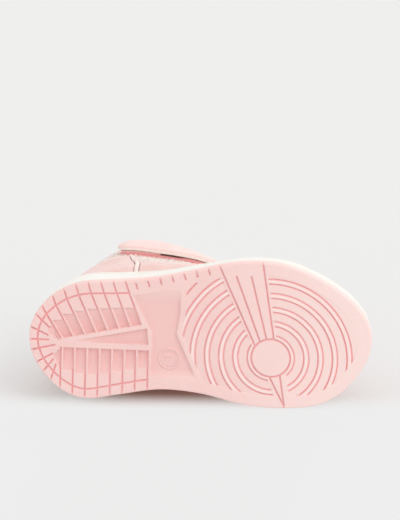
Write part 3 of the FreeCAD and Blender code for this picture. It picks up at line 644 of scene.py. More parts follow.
# ---------------------------------------------------------------- camera, light and stage
CAMERA_PLACE = Vector((0.1248, -0.2473, -0.8571))
CAMERA_BACK = Vector((0.1378, -0.2387, -0.9613))
CAMERA_UP = Vector((0.0, -0.9705, 0.2410))
LENS_MM = 141.44
SENSOR_MM = 36.0
STAGE_COLOUR = linear(232, 232, 232)
STAGE_BOUNCE = linear(212, 176, 164)       # pink light that the shoe throws on the surface beside it
BOUNCE_ABOVE = (0.05, 0.02)                # the bounce fades out between these heights (m)
BOUNCE_HEEL = (-0.065, -0.03)              # and between these places towards the heel
BOUNCE_TOE = (0.06, 0.03)                  # and the toe
STAGE_GLOW = linear(238, 238, 238)
GLOW_BELOW = (0.024, -0.002)               # the surface turns to even paper white between these heights
GLOW_SHARE = 0.97
STAGE_GAP = 0.0006
STAGE_REACH = 12.0
STUDIO_COLOUR = (1.0, 0.995, 0.99, 1.0)
STUDIO_STRENGTH = 0.90


def make_camera():
    """The photograph's viewpoint: from under the tread, a little to the toe and the outer side."""
    data = bpy.data.cameras.new("camera")
    data.sensor_fit = "VERTICAL"
    data.sensor_height = SENSOR_MM
    data.lens = LENS_MM
    data.clip_end = 50.0
    camera = bpy.data.objects.new("camera", data)
    bpy.context.scene.collection.objects.link(camera)
    right = CAMERA_UP.cross(CAMERA_BACK).normalized()
    up = CAMERA_BACK.cross(right).normalized()
    turned = Matrix((right, up, CAMERA_BACK.normalized())).transposed()
    camera.matrix_world = Matrix.Translation(CAMERA_PLACE) @ turned.to_4x4()
    bpy.context.scene.camera = camera


def make_sun(name, towards, energy, spread, colour=(1.0, 1.0, 1.0)):
    """Soft light from the direction given, by the tread's frame."""
    data = bpy.data.lights.new(name, "SUN")
    data.energy = energy
    data.angle = math.radians(spread)
    data.color = colour
    lamp = bpy.data.objects.new(name, data)
    lamp.rotation_euler = Vector(towards).to_track_quat("Z", "Y").to_euler()
    bpy.context.scene.collection.objects.link(lamp)


def make_stage_plane(name, corner, across, up, material, camera_only):
    """Large plane seen and lit from one side only; across x up points to that side."""
    across, up = Vector(across), Vector(up)
    corners = [Vector(corner) + across * i + up * j for i, j in ((-1, -1), (1, -1), (1, 1), (-1, 1))]
    mesh = bpy.data.meshes.new(name)
    mesh.from_pydata([tuple(c) for c in corners], [], [(0, 1, 2, 3)])
    mesh.materials.append(material)
    plane = bpy.data.objects.new(name, mesh)
    bpy.context.scene.collection.objects.link(plane)
    if camera_only:
        plane.visible_diffuse = False
        plane.visible_glossy = False
        plane.visible_transmission = False
        plane.visible_shadow = False


def make_stage():
    """Pale surfaces: one that the shoe's inner side lies against, one under the tread."""
    paper = Finish("stage_paper", STAGE_COLOUR, 0.95, Specular_IOR_Level=0.0)
    tree = paper.tree
    glow = paper.node("ShaderNodeEmission", {"Color": STAGE_GLOW, "Strength": 1.0})
    along, _, height = paper.node("ShaderNodeSeparateXYZ", {0: paper.coordinates}).outputs
    near = paper.product(paper.sharpen(height, *BOUNCE_ABOVE), paper.sharpen(along, *BOUNCE_HEEL))
    paper.tint(paper.product(near, paper.sharpen(along, *BOUNCE_TOE)), STAGE_BOUNCE)
    away = paper.node("ShaderNodeMapRange", {"Value": height, "From Min": GLOW_BELOW[0],
                                             "From Max": GLOW_BELOW[1], "To Min": 0.0,
                                             "To Max": GLOW_SHARE}, interpolation_type="SMOOTHSTEP")
    lit = paper.node("ShaderNodeMixShader", {0: away.outputs[0]})
    tree.links.new(paper.shader.outputs[0], lit.inputs[1])
    tree.links.new(glow.outputs[0], lit.inputs[2])
    side = paper.node("ShaderNodeMixShader", {0: paper.node("ShaderNodeNewGeometry").outputs["Backfacing"]})
    tree.links.new(lit.outputs[0], side.inputs[1])
    tree.links.new(paper.node("ShaderNodeBsdfTransparent").outputs[0], side.inputs[2])
    tree.links.new(side.outputs[0], tree.nodes["Material Output"].inputs["Surface"])
    low, high = (Vector(corner) for corner in cad_box)
    for name, corner, up, camera_only in (
            ("stage_side", (0, high.y + STAGE_GAP, 0), (0, 0, STAGE_REACH), False),
            ("stage_floor", (0, 0, low.z - STAGE_GAP), (0, STAGE_REACH, 0), True)):
        make_stage_plane(name, corner, (STAGE_REACH, 0, 0), up, paper.material, camera_only)

    world = bpy.data.worlds.new("studio")
    world.use_nodes = True
    background = world.node_tree.nodes["Background"]
    background.inputs[0].default_value = STUDIO_COLOUR
    background.inputs[1].default_value = STUDIO_STRENGTH
    bpy.context.scene.world = world
    make_sun("key", (0.62, -0.55, -0.62), 0.55, 30.0, (1.0, 0.985, 0.97))
    make_sun("top", (0.25, -0.62, 0.78), 0.42, 40.0)
    bpy.context.scene.view_settings.view_transform = "Standard"


# ---------------------------------------------------------------- the tread
GROOVE_WIDTH = 0.62
GROOVE_DEPTH = 0.85
POCKET_DEPTH = 1.8
WAIST_DEPTH = 1.4
PIVOT = (31.0, -10.1)
PIVOT_RADIUS = 8.6
FAN_LINES = (((9.8, 31.4), (24.3, -4.8)), ((17.0, 26.9), (26.3, -2.1)),
             ((23.6, 26.7), (29.4, -1.8)), ((29.0, 31.0), (32.6, -1.7)))
FAN_POINT = (36.4, -32.7)
FAN_FEET = ((30.2, -18.8), (34.8, -18.2))
RING_RADII = (10.4, 14.6, 16.8, 20.9, 23.1, 27.2, 29.4, 33.6, 35.8)
HEEL_SIDE_RADII = RING_RADII + (39.8, 42.0, 46.5)
RING_RIM = 5.6
RING_BANDS = ((10.4, 14.6), (16.8, 20.9), (23.1, 27.2), (29.4, 33.6), (35.8, 39.8))
RING_RIDGES = ((8.9, 10.4), (14.6, 16.8), (20.9, 23.1), (27.2, 29.4), (33.6, 35.8), (39.8, 42.0))
BAND_FALL = 0.5                # how much deeper a band is at one edge than at the other
HEEL_APEX = (-62.3, -3.3)
RIB_END_LATERAL = (-23.7, 5.2)
RIB_END_MEDIAL = (-23.4, -5.6)
WAIST_LEFT = ((-29.0, 18.2), (-21.3, 1.1), (-21.6, -6.7), (-22.8, -18.2))
WAIST_RIGHT = ((-7.9, 21.0), (-8.6, 10.0), (-10.6, 0.6), (-2.4, -20.6))
BACK_POCKETS = (((-63.4, -2.2), (-68.0, 1.2), (-67.6, 3.4), (-66.0, 4.4)),
                ((-63.6, -6.6), (-66.2, -9.2), (-64.9, -12.8), (-63.6, -15.0)))
BADGE_CENTRE = (-14.3, -10.8)
BADGE_RADIUS = 5.0
POCKET_TOPS = {"lateral": (12.5, 12.5, 12.2, 11.9, 11.0, 9.6, 6.8),
               "medial": (-14.8, -15.6, -16.5, -17.4, -17.8, -17.5, -16.0)}
HEEL_RADIALS = (((-76.0, 12.4), (-67.3, 3.3)), ((-79.0, 5.5), (-68.4, 0.0)), ((-80.0, -1.6), (-68.2, -2.1)),
                ((-79.5, -7.4), (-65.5, -4.5)), ((-78.0, -14.5), (-66.7, -8.5)),
                ((-75.0, -20.9), (-66.6, -11.2)),
                ((-70.0, -25.5), (-65.5, -13.6)))
TREAD_PITCH = 0.32
TREAD_EDGE = 0.9               # radius of the tread's outer edge


def along(start, end, share):
    return start[0] + (end[0] - start[0]) * share, start[1] + (end[1] - start[1]) * share


def heel_line(index, side):
    """Rim point and rib point of one cross groove of the heel."""
    if side == "lateral":
        return (-30.9 - 5.55 * index, 19.4 - 0.15 * index ** 2), (-26.3 - 5.2 * index, 5.0 - 0.9 * index)
    return (-25.1 - 5.65 * index, -32.0), (-23.6 - 5.6 * index, -7.2 + 0.2 * index)


def to_segment(points, start, end):
    """Distance of points to a straight line piece."""
    start, end = np.array(start), np.array(end)
    run = end - start
    share = np.clip(((points - start) @ run) / (run @ run), 0.0, 1.0)
    return np.linalg.norm(points - start - share[:, None] * run, axis=-1)


def to_polygon(points, corners):
    """Signed distance to a polygon, negative inside."""
    corners = np.array(corners, float)
    nearest = np.full(len(points), 1e9)
    inside = np.zeros(len(points), bool)
    for a, b in zip(corners, np.roll(corners, -1, axis=0)):
        nearest = np.minimum(nearest, to_segment(points, a, b))
        crosses = (a[1] > points[:, 1]) != (b[1] > points[:, 1])
        height = np.where(b[1] == a[1], 1.0, b[1] - a[1])
        inside ^= crosses & (points[:, 0] < (b[0] - a[0]) * (points[:, 1] - a[1]) / height + a[0])
    return np.where(inside, -nearest, nearest)


# depths at which the painted shade in grooves and recesses is full
FULL_SHADE_DEPTH = {"groove": GROOVE_DEPTH, "recess_shade": POCKET_DEPTH}


class Tread:
    """Depth of the tread over a cloud of points (x, lateral), cut shape by shape."""

    def __init__(self, points, rim):
        self.points = points
        self.rim = rim                         # distance from each point to the outline
        self.depth = np.zeros(len(points))
        self.groove = np.zeros(len(points))    # share of painted shade in the grooves
        self.recess_shade = np.zeros(len(points))    # share of painted shade in the recesses
        self.ridge_highlight = np.zeros(len(points))     # share of the ridges' painted highlight

    def cut(self, distance_of, depth, soft, kind, low=(-200, -200), high=(200, 200)):
        """Lowers points where distance_of(points) is negative, over a soft edge, and marks painted shade
        there in step with the depth.
        """
        near = np.all((self.points > np.array(low) - 1.5) & (self.points < np.array(high) + 1.5), axis=1)
        distance = distance_of(self.points[near], near)
        share = ramp(distance, soft, -soft)
        value = depth(self.points[near]) if callable(depth) else depth
        self.depth[near] = np.maximum(self.depth[near], share * value)
        colour = self.groove if kind == "groove" else self.recess_shade
        shade = np.minimum(value / FULL_SHADE_DEPTH[kind], 1.0)
        colour[near] = np.maximum(colour[near], share * shade)

    def line(self, start, end, depth=GROOVE_DEPTH, width=GROOVE_WIDTH):
        self.cut(lambda p, near: to_segment(p, start, end) - width / 2, depth, 0.16, "groove",
                 np.minimum(start, end), np.maximum(start, end))

    def area(self, corners, depth, soft=0.28):
        self.cut(lambda p, near: to_polygon(p, corners), depth, soft, "recess_shade",
                 np.min(corners, axis=0), np.max(corners, axis=0))

    def ring(self, radius, field=None):
        def distance(p, near):
            off = np.abs(np.linalg.norm(p - np.array(PIVOT), axis=-1) - radius) - GROOVE_WIDTH / 2
            if field is None:
                return off
            return np.maximum(off, np.maximum(to_polygon(p, field), RING_RIM - self.rim[near]))
        reach = radius + 1.0
        self.cut(distance, GROOVE_DEPTH, 0.16, "groove", np.array(PIVOT) - reach, np.array(PIVOT) + reach)

    def terrace(self, field):
        """Tilts the bands between the ring pairs and marks the ridges that stand between them for a painted
        highlight.
        """
        off = self.points - np.array(PIVOT)
        radius = np.linalg.norm(off, axis=-1)
        inside = np.maximum(to_polygon(self.points, field), RING_RIM - self.rim)
        within = ramp(inside, 0.6, -0.6)
        for inner, outer in RING_BANDS:
            across = np.clip((radius - inner) / (outer - inner), 0.0, 1.0)
            tilt = BAND_FALL * (0.5 - off[:, 0] / np.maximum(radius, 1.0) * (across - 0.5))
            band = ramp(radius, inner, inner + 0.2) * ramp(radius, outer, outer - 0.2)
            self.depth = np.maximum(self.depth, tilt * band * within)
        for inner, outer in RING_RIDGES:
            self.ridge_highlight = np.maximum(self.ridge_highlight, ramp(radius, inner + 0.3, inner + 0.7) * within
                                    * ramp(radius, outer - 0.3, outer - 0.7))


def cut_forefoot(tread):
    """Fans, pivot disc, and the rings on either side of the fans."""
    far, gap, strip = 90.0, 1.4, 2.6
    first, last = FAN_LINES[0], FAN_LINES[-1]
    toe_field = [along(last[1], last[0], -0.1), along(last[1], last[0], 1.5), (far, far), (far, -far),
                 (FAN_POINT[0] + gap, -far), (FAN_POINT[0] + gap, FAN_POINT[1]),
                 (FAN_FEET[1][0] + gap, FAN_FEET[1][1])]
    heel_field = [along(first[1], first[0], -0.1), along(first[1], first[0], 1.5),
                  (WAIST_RIGHT[0][0] + strip, far)]
    heel_field += [(x + strip + gap, y) for x, y in WAIST_RIGHT]
    heel_field += [(WAIST_RIGHT[3][0] + 8, -far), (FAN_POINT[0] - 2 * gap, -far),
                   (FAN_POINT[0] - gap, FAN_POINT[1]), FAN_FEET[0]]
    for field, radii, shift in ((toe_field, RING_RADII, gap), (heel_field, HEEL_SIDE_RADII, -gap)):
        moved = [(x + shift, y) for x, y in field]
        for radius in radii:
            tread.ring(radius, moved)
        tread.terrace(moved)
    tread.ring(PIVOT_RADIUS)
    for outer, foot in FAN_LINES[1:3]:
        tread.line(outer, foot)
    for outer, foot in (first, last):
        tread.line(along(foot, outer, 1.3), foot)
    for foot in FAN_FEET:
        tread.line(foot, along(foot, FAN_POINT, 1.1))


def cut_waist(tread):
    """Recess under the arch with its raised badge ring, and the short marks along the outer side."""
    tread.area(list(WAIST_LEFT) + list(WAIST_RIGHT[::-1]),
               lambda p: WAIST_DEPTH * ramp(p[:, 1], 22.0, 13.0) * ramp(p[:, 1], -20.5, -15.5))
    centre = np.array(BADGE_CENTRE)
    off = np.linalg.norm(tread.points - centre, axis=-1)
    ring = ramp(np.abs(off - BADGE_RADIUS + 0.4), 0.75, 0.25)
    inner_ring = ramp(np.abs(off - BADGE_RADIUS + 1.5), 0.45, 0.15) * 0.5
    bar = ramp(to_segment(tread.points, centre + (-1.4, 1.1), centre + (1.4, 1.1)), 0.85, 0.35)
    tread.depth -= 0.5 * np.maximum(np.maximum(ring, inner_ring), bar)
    for index in range(7):
        x, lateral = -27.1 + 5.4 * index, 22.4 + 1.1 * index
        tread.line((x, lateral - 1.1), (x - 0.6, lateral + 1.2))


def cut_heel(tread):
    """Cross grooves with their pockets, the middle wedge, the radial grooves and the rim groove."""
    rib = 1.3
    for corners in BACK_POCKETS:
        tread.area(corners, POCKET_DEPTH * 0.6)
    for index in range(8):
        knee = heel_line(index, "lateral")[0]
        tread.line(knee, (knee[0] - 2.9, knee[1] + 11.0))
    for side, tops in POCKET_TOPS.items():
        for index in range(8):
            tread.line(*heel_line(index, side))
        for index, top in enumerate(tops):
            (rim_a, foot_a), (rim_b, foot_b) = heel_line(index, side), heel_line(index + 1, side)
            top_a = along(foot_a, rim_a, (top - foot_a[1]) / (rim_a[1] - foot_a[1]))
            top_b = along(foot_b, rim_b, (top - foot_b[1]) / (rim_b[1] - foot_b[1]))
            corners = [foot_a, top_a, (top_b[0] + rib, top_b[1]), (foot_b[0] + rib, foot_b[1])]
            foot_y, rise = foot_a[1], top - foot_a[1]

            def slope(p, y=foot_y, r=rise):
                return POCKET_DEPTH * (1.15 - 0.6 * ((p[:, 1] - y) / r) ** 2)
            tread.area(corners, slope)
    wedge = [(HEEL_APEX[0] + 5.0, HEEL_APEX[1] + 0.4), (RIB_END_LATERAL[0], 3.0), (RIB_END_MEDIAL[0], -4.2)]
    tread.area(wedge, lambda p: POCKET_DEPTH * ramp(p[:, 0], HEEL_APEX[0], HEEL_APEX[0] + 25.0))
    for start, end in HEEL_RADIALS:
        tread.line(start, end)

    angles = np.linspace(-128.0, 128.0, 130)
    sines = np.sin(np.radians(angles))
    rim = sole_point(angles, 3.9 + np.where(sines > 0, 1.2, 2.2) * sines ** 2)
    rim = rim * (1, -1)
    kept = np.where(rim[:, 1] > 0, rim[:, 0] < -30.2, rim[:, 0] < -23.8)
    for a, b, wanted in zip(rim[:-1], rim[1:], kept[:-1] & kept[1:]):
        if wanted:
            tread.line(a, b)


def sole_grid(angles, inset, rows):
    """Grid of points across the sole, and each row's share of the way from lateral to medial."""
    lateral, medial = sole_point(-angles, inset), sole_point(angles, inset)
    share = np.linspace(0.0, 1.0, rows)[None, :, None]
    return share, lateral[:, None] * (1 - share) + medial[:, None] * share


def make_outsole(finish):
    """Tread surface with its cut pattern, rounded edge, side and top face, as one closed mesh."""
    columns = int(SOLE_LENGTH / TREAD_PITCH * math.pi / 2)
    rows = int(80.0 / TREAD_PITCH)
    angles = np.linspace(0.0, 180.0, columns)
    flat = sole_grid(angles, TREAD_EDGE, rows)[1]

    outline = sole_point(np.linspace(-180.0, 180.0, 1441))[:-1]
    tree = kdtree.KDTree(len(outline))
    for index, (x, y) in enumerate(outline):
        tree.insert((x, y, 0.0), index)
    tree.balance()
    cloud = flat.reshape(-1, 2)
    rim = np.array([tree.find((x, y, 0.0))[2] for x, y in cloud])
    tread = Tread(cloud * (1, -1), rim)
    cut_forefoot(tread)
    cut_waist(tread)
    cut_heel(tread)
    fade = ramp(rim, TREAD_EDGE, TREAD_EDGE + 0.5)
    depth = np.where(rim < TREAD_EDGE + 1e-3, 0.0, tread.depth) * np.maximum(fade, 0.75)
    surface = np.concatenate([cloud, depth[:, None]], -1).reshape(columns, rows, 3)

    # the ring of outline points, from the heel along the medial side to the toe and back
    ring_index = np.concatenate([np.arange(columns) * rows + rows - 1, np.arange(columns - 2, 0, -1) * rows])
    ring_angles = np.concatenate([angles, -angles[-2:0:-1]])
    bends = np.radians((25, 50, 72, 90))
    profile = [(TREAD_EDGE * (1 - math.sin(b)), TREAD_EDGE * (1 - math.cos(b))) for b in bends]
    profile += [(0.0, 2.0), (0.0, 3.2), (0.0, OUTSOLE_THICKNESS - 0.35), (0.35, OUTSOLE_THICKNESS)]
    start_depth = depth[ring_index]
    rings = [np.concatenate([sole_point(ring_angles, inset),
                             np.maximum(z, start_depth * (1 - k / 4))[:, None]], -1)
             for k, (inset, z) in enumerate(profile)]
    around = len(ring_index)
    points = np.concatenate([surface.reshape(-1, 3)] + rings)
    offset = columns * rows
    index = [ring_index] + [offset + around * k + np.arange(around) for k in range(len(rings))]
    faces = [grid_faces(columns, rows)[:, ::-1]]
    for low, high in zip(index[:-1], index[1:]):
        faces.append(np.stack([high, np.roll(high, -1), np.roll(low, -1), low], -1))
    top = index[-1]
    left, right = top[1:columns - 1], top[:columns - 1:-1]
    faces.append(np.stack([right[:-1], right[1:], left[1:], left[:-1]], -1))
    caps = [[int(right[0]), int(top[1]), int(top[0])], [int(right[-1]), int(top[columns - 1]), int(left[-1])]]
    faces = np.concatenate(faces).tolist() + caps
    extra = np.zeros(len(points) - offset)
    # painted groove shade, fading out over the rounded edge
    extra_groove_shade = np.concatenate([tread.groove[ring_index] * (1 - k / 4) if k < 4 else np.zeros(around)
                                   for k in range(len(rings))])
    return new_piece("outsole_tread", points, faces, [finish], slot="outsole_rubber", replaces=["outsole"],
                     values={"groove": np.concatenate([tread.groove * np.maximum(fade, 0.4), extra_groove_shade]),
                             "ridge_highlight": np.concatenate([tread.ridge_highlight, extra]),
                             "recess_shade": np.concatenate([tread.recess_shade, extra])})


# ---------------------------------------------------------------- cup sidewall
CHANNEL_BELOW_LIP = 2.6
CHANNEL_DEPTH = 0.35


CHANNEL_PROFILE = ((-0.45, 0.05), (-0.25, 0.22), (0.0, CHANNEL_DEPTH), (0.25, 0.22), (0.45, 0.05), (0.6, 0.0))
CUP_BASE = OUTSOLE_THICKNESS + GLUE_GAP


def cup_slope(angles):
    """How far the sidewall leans in for each mm of its height."""
    share = (1 - np.cos(np.radians(angles))) / 2
    lean = CUP_LEAN_HEEL + (CUP_LEAN_FORE - CUP_LEAN_HEEL) * share
    return lean / (max(CUP_TOP_HEIGHTS) + 3 - CUP_BASE)


def make_cup(finish):
    """White sidewall with a rounded lip and a stitching channel, closed inside by its floor."""
    base = CUP_BASE
    angles = np.linspace(-180.0, 180.0, 901)[:-1]
    height = cup_top(sole_point(angles)[:, 0])
    slope = cup_slope(angles)

    def ring(inset, z, leaning=True):
        z = np.broadcast_to(np.asarray(z, float), angles.shape)
        inset = inset + (slope * (z - base) if leaning else 0.0)
        return np.concatenate([sole_point(angles, inset), z[:, None]], -1)

    channel = height - CHANNEL_BELOW_LIP
    rings = [ring(CUP_WALL, base), ring(0.5, base), ring(0.15, base + 0.15), ring(0.0, base + 0.5)]
    for k in range(1, 6):
        rings.append(ring(0.06 * math.sin(math.pi * k / 5), base + 0.5 + (channel - 1.1 - base) * k / 5))
    for offset, depth in CHANNEL_PROFILE:
        rings.append(ring(depth, channel + offset))
    for bend in np.radians((0, 25, 50, 72, 90)):
        rings.append(ring(1.1 * (1 - math.cos(bend)), height - 1.1 * (1 - math.sin(bend))))
    for bend in np.radians((90, 60, 30, 0)):
        rings.append(ring(CUP_WALL - 0.6 * (1 - math.cos(bend)), height - 0.6 * (1 - math.sin(bend)), False))
    rings.append(ring(CUP_WALL, base + CUP_FLOOR, False))
    around = len(angles)
    points = np.concatenate(rings)
    faces = grid_faces(len(rings), around, closed=True).tolist()
    mid = around // 2                     # the heel point; the toe is point 0
    for first, turned in ((0, 1), ((len(rings) - 1) * around, -1)):
        left = first + np.arange(0, mid + 1)
        right = first + np.concatenate([[0], np.arange(around - 1, mid - 1, -1)])
        strips = np.stack([left[1:-2], left[2:-1], right[2:-1], right[1:-2]], -1)[:, ::turned].tolist()
        ends = [[int(left[0]), int(left[1]), int(right[1])][::turned],
                [int(left[-2]), int(left[-1]), int(right[-2])][::turned]]
        faces += strips + ends
    # painted shade in the stitching channel
    shade = np.zeros((len(rings), around))
    shade[10:13] = 1.0
    return new_piece("cup_sidewall", points, faces, [finish], slot="cup_rubber", replaces=["cupsole"],
                     values={"channel": shade})


# ---------------------------------------------------------------- stitching
STITCH_PITCH = 2.3
STITCH_LENGTH = 1.75
STITCH_RADIUS = 0.2
CUP_STITCH_PITCH = 3.4
CUP_STITCH_HALF = 1.25
CUP_STITCH_RADIUS = 0.24


def thread_pieces(starts, ends, outward, radius=STITCH_RADIUS):
    """Points and faces of one tapered, sunken-ended thread per pair of ends."""
    run = ends - starts
    length = np.linalg.norm(run, axis=-1, keepdims=True)
    ahead = run / length
    aside = np.cross(ahead, outward)
    aside /= np.linalg.norm(aside, axis=-1, keepdims=True)
    up = np.cross(aside, ahead)
    shares = np.array((0.0, 0.1, 0.3, 0.5, 0.7, 0.9, 1.0))
    sizes = np.array((0.25, 0.75, 1.0, 1.05, 1.0, 0.75, 0.25))
    lifts = np.array((-1.0, -0.35, 0.25, 0.4, 0.25, -0.35, -1.0)) * radius
    turns = np.linspace(0, 2 * math.pi, 9)[:-1]
    rings = []
    for share, size, lift in zip(shares, sizes, lifts):
        middle = starts + run * share + up * lift
        for turn in turns:
            rings.append(middle + (aside * math.cos(turn) + up * math.sin(turn)) * radius * size)
    points = np.stack(rings, 1)
    count, per = points.shape[:2]
    one = grid_faces(len(shares), len(turns), closed=True)
    faces = [face for k in range(count) for face in (one + per * k).tolist()]
    for k in range(count):
        faces.append(tuple(range(per * k, per * k + 8)))
        faces.append(tuple(range(per * k + per - 1, per * k + per - 9, -1)))
    return points.reshape(-1, 3), faces


def distances(line):
    """Distance along a line at each of its points."""
    return np.concatenate([[0.0], np.linalg.norm(np.diff(line, axis=0), axis=-1).cumsum()])


def sampled(distance, runs, values):
    """Values (point, axis) read at distances along the line."""
    return np.stack([np.interp(distance, runs, values[:, axis]) for axis in range(3)], -1)


def stitch_path(angle, level, depth, pitch=STITCH_PITCH, length=STITCH_LENGTH):
    """Starts, ends and outward directions of stitches along a line on the last."""
    line, outward = last_frame(angle, level)
    line = line - outward * np.broadcast_to(np.asarray(depth, float), angle.shape)[:, None]
    runs = distances(line)
    count = int(runs[-1] / pitch)
    middles = (np.arange(count) + 0.5) * runs[-1] / count
    ends = [sampled(middles + shift, runs, line) for shift in (-length / 2, length / 2)]
    return *ends, sampled(middles, runs, outward)


def make_stitching(name, paths, finish, body="root", slot="piping"):
    """All the stitches of several lines as one piece."""
    joined = [np.concatenate(column) for column in zip(*[stitch_path(*path) for path in paths])]
    points, faces = thread_pieces(*joined)
    return new_piece(name, points, faces, [finish], body=body, slot=slot)


def level_line(side, start, end, level, count=160):
    """Angles and levels of a line round the foot."""
    share = np.linspace(0, 1, count)
    angle = side * (start + (end - start) * share)
    return angle, np.broadcast_to(np.asarray(level(share) if callable(level) else level, float), angle.shape)


def upright_line(side, angle_of, bottom, top, count=120):
    """Angles and levels of a line up the foot."""
    level = np.linspace(bottom, top, count)
    return side * np.broadcast_to(np.asarray(angle_of(level) if callable(angle_of) else angle_of, float),
                                  level.shape), level


# ---------------------------------------------------------------- sole filling and CAD parts that stay
def make_footbed(finish):
    """Fleece-topped footbed."""
    inset = CUP_WALL + 2 * GLUE_GAP + lining_depth(np.zeros(1))[0] + LINING_THICKNESS + 0.2
    columns, rows = 150, 60
    angles = np.linspace(4.0, 176.0, columns)
    share, flat = sole_grid(angles, inset, rows)
    bottom = board_top(flat[..., 0]) + GLUE_GAP
    grid = np.concatenate([flat, bottom[..., None]], -1)
    edge = np.minimum(share[..., 0], 1 - share[..., 0]) * 20
    height = curls(grid, 2.6, 31) * np.clip(edge, 0.2, 1)
    top = grid + np.stack([0 * height, 0 * height, FOOTBED_THICKNESS - 0.6 * (1 - height)], -1)
    points, faces = shell_mesh(grid, top)
    new_piece("footbed_fleece", points, faces, [finish], slot="fleece_lining", replaces=["footbed"],
              values={"height": np.concatenate([0 * height.ravel(), height.ravel()])})


def dress_cad_parts(finishes):
    """Parts whose CAD shape is right keep it and get their materials."""
    for node, key in (("midsole_wedge", "foam"), ("insole_board", "board"),
                      ("heel_counter", "stiffener"), ("toe_puff", "stiffener")):
        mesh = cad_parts[node].data
        mesh.materials.clear()
        mesh.materials.append(finishes[key])


# ---------------------------------------------------------------- upper
FLEECE_PILE = 0.95             # how far the curls stand out of the panel
PINKING_TEETH = 26
PINKING_LEVELS = 0.12


def covered(angle, level):
    """1 where an overlay lies on the fleece, 0 where the fleece is free."""
    around = np.abs((angle + 180.0) % 360.0 - 180.0)
    under = ramp(level, FOXING_TOP + 0.12, FOXING_TOP - 0.02)
    heel = ramp(around, piping_edge(level) + 1.2, piping_edge(level))
    heel = heel * ramp(level, HEEL_OVERLAY_TOP + 0.08, HEEL_OVERLAY_TOP - 0.02)
    back = facing_back(level)
    facing = ramp(around, back - 1.0, back + 0.5) * ramp(level, THROAT_LEVEL - 0.68, THROAT_LEVEL - 0.58)
    tab = ramp(around, 12.0, 11.0) * ramp(level, 6.2, 6.3) * ramp(level, 9.0, 8.9)
    return np.maximum(np.maximum(under, heel), np.maximum(facing, tab))


def fleece_relief(pitch, pile, seed):
    def relief(points, angle, level):
        return curls(points, pitch, seed) * pile * (1 - covered(angle, level))
    return relief


def grain_relief(points, angle, level):
    return 0.05 * creases(points, 1.3, 5)


def pinked_top(s):
    """Top level of the foxing, cut in small teeth."""
    return FOXING_TOP + PINKING_LEVELS * (np.abs((s * PINKING_TEETH) % 1.0 - 0.5) * 4 - 1)


def make_quarters(f):
    for name, side in SIDES.items():
        panel("quarter_fleece_" + name, side_strip(side, SEAM_GAP, quarter_front, 0.0, TOP_LEVEL),
              PANEL_OUTER, PANEL_INNER, [f["fleece_pink"], f["felt"]], pitch=0.5, roll=0.4,
              relief=fleece_relief(2.1, FLEECE_PILE, 11 + side), slot="fleece_pink",
              replaces=["quarter_" + name])
        panel("quarter_padding_" + name,
              side_strip(side, 62.0, lambda level: quarter_front(level) - 2.0, 0.1, 5.9), MIDDLE_OUTER,
              lambda s, t, angle, level: lining_depth(level) - PADDING_GAP, [f["foam"]], pitch=1.6, roll=0.3,
              slot="foam", replaces=["quarter_foam_" + name])
        panel("lining_fleece_" + name, side_strip(side, SEAM_GAP, lining_front, 0.0, TOP_LEVEL),
              lambda s, t, angle, level: lining_depth(level),
              lambda s, t, angle, level: lining_depth(level) + LINING_THICKNESS,
              [f["felt"], f["fleece_cream"]], pitch=0.8, roll=0.4,
              inner_relief=lambda p, a, l: 0.5 * curls(p, 2.4, 21), slot="fleece_lining",
              replaces=["lining_" + name])
    panel("vamp_fleece", round_toe(lambda level: 180 - quarter_front(level) - SEAM_GAP, 0.0, THROAT_LEVEL),
          PANEL_OUTER, PANEL_INNER, [f["fleece_pink"], f["felt"]], pitch=0.5, roll=0.4,
          relief=fleece_relief(2.1, FLEECE_PILE, 13), slot="fleece_pink", replaces=["vamp"])


def make_overlays(f):
    """Smooth panels that lie on the fleece, the piping and the heel tab."""
    def overlay(name, where, node, pitch=0.8, roll=0.5):
        panel(name, where, 0.0, OVERLAY_THICKNESS, [f["synthetic"]], pitch=pitch, roll=roll,
              relief=grain_relief, slot="synthetic_pink", replaces=[node])

    def piping_height(s, t, a, level):
        return -0.1 - 0.75 * np.sin(math.pi * s) ** 0.7 * np.minimum(level - 1.0, 1.0)

    for name, side in SIDES.items():
        overlay("foxing_" + name + "_band",
                side_strip(side, lambda level: piping_edge(level) + SEAM_GAP, MUDGUARD_ANGLE - SEAM_GAP,
                           0.0, pinked_top), "foxing_" + name, 0.4, 0.35)
        panel("heel_piping_" + name + "_cord",
              side_strip(side, heel_edge, piping_edge, 1.0, HEEL_OVERLAY_TOP), piping_height,
              OVERLAY_THICKNESS - SKIVING, [f["piping"]], pitch=0.3, roll=0.2, slot="piping",
              replaces=["heel_piping_" + name])
        overlay("eyestay_" + name + "_facing",
                side_strip(side, facing_back, throat_edge, THROAT_LEVEL - 0.6, TOP_LEVEL - 0.15),
                "eyestay_" + name)
    overlay("heel_overlay_panel",
            round_heel(lambda level: heel_edge(level) - SEAM_GAP, 0.0, HEEL_OVERLAY_TOP), "heel_overlay")
    overlay("toe_mudguard", round_toe(180 - MUDGUARD_ANGLE - SEAM_GAP, 0.0, MUDGUARD_TOP), "mudguard")
    panel("heel_tab_webbing", round_heel(11.0, 6.3, 8.9), PANEL_OUTER - GLUE_GAP - 1.0,
          PANEL_OUTER - GLUE_GAP, [f["webbing"]], pitch=0.35, roll=0.3,
          relief=lambda p, a, l: 0.18 * np.abs(np.sin(math.pi * (l * 7 + a * 0.5))),
          slot="webbing", replaces=["heel_tab"])


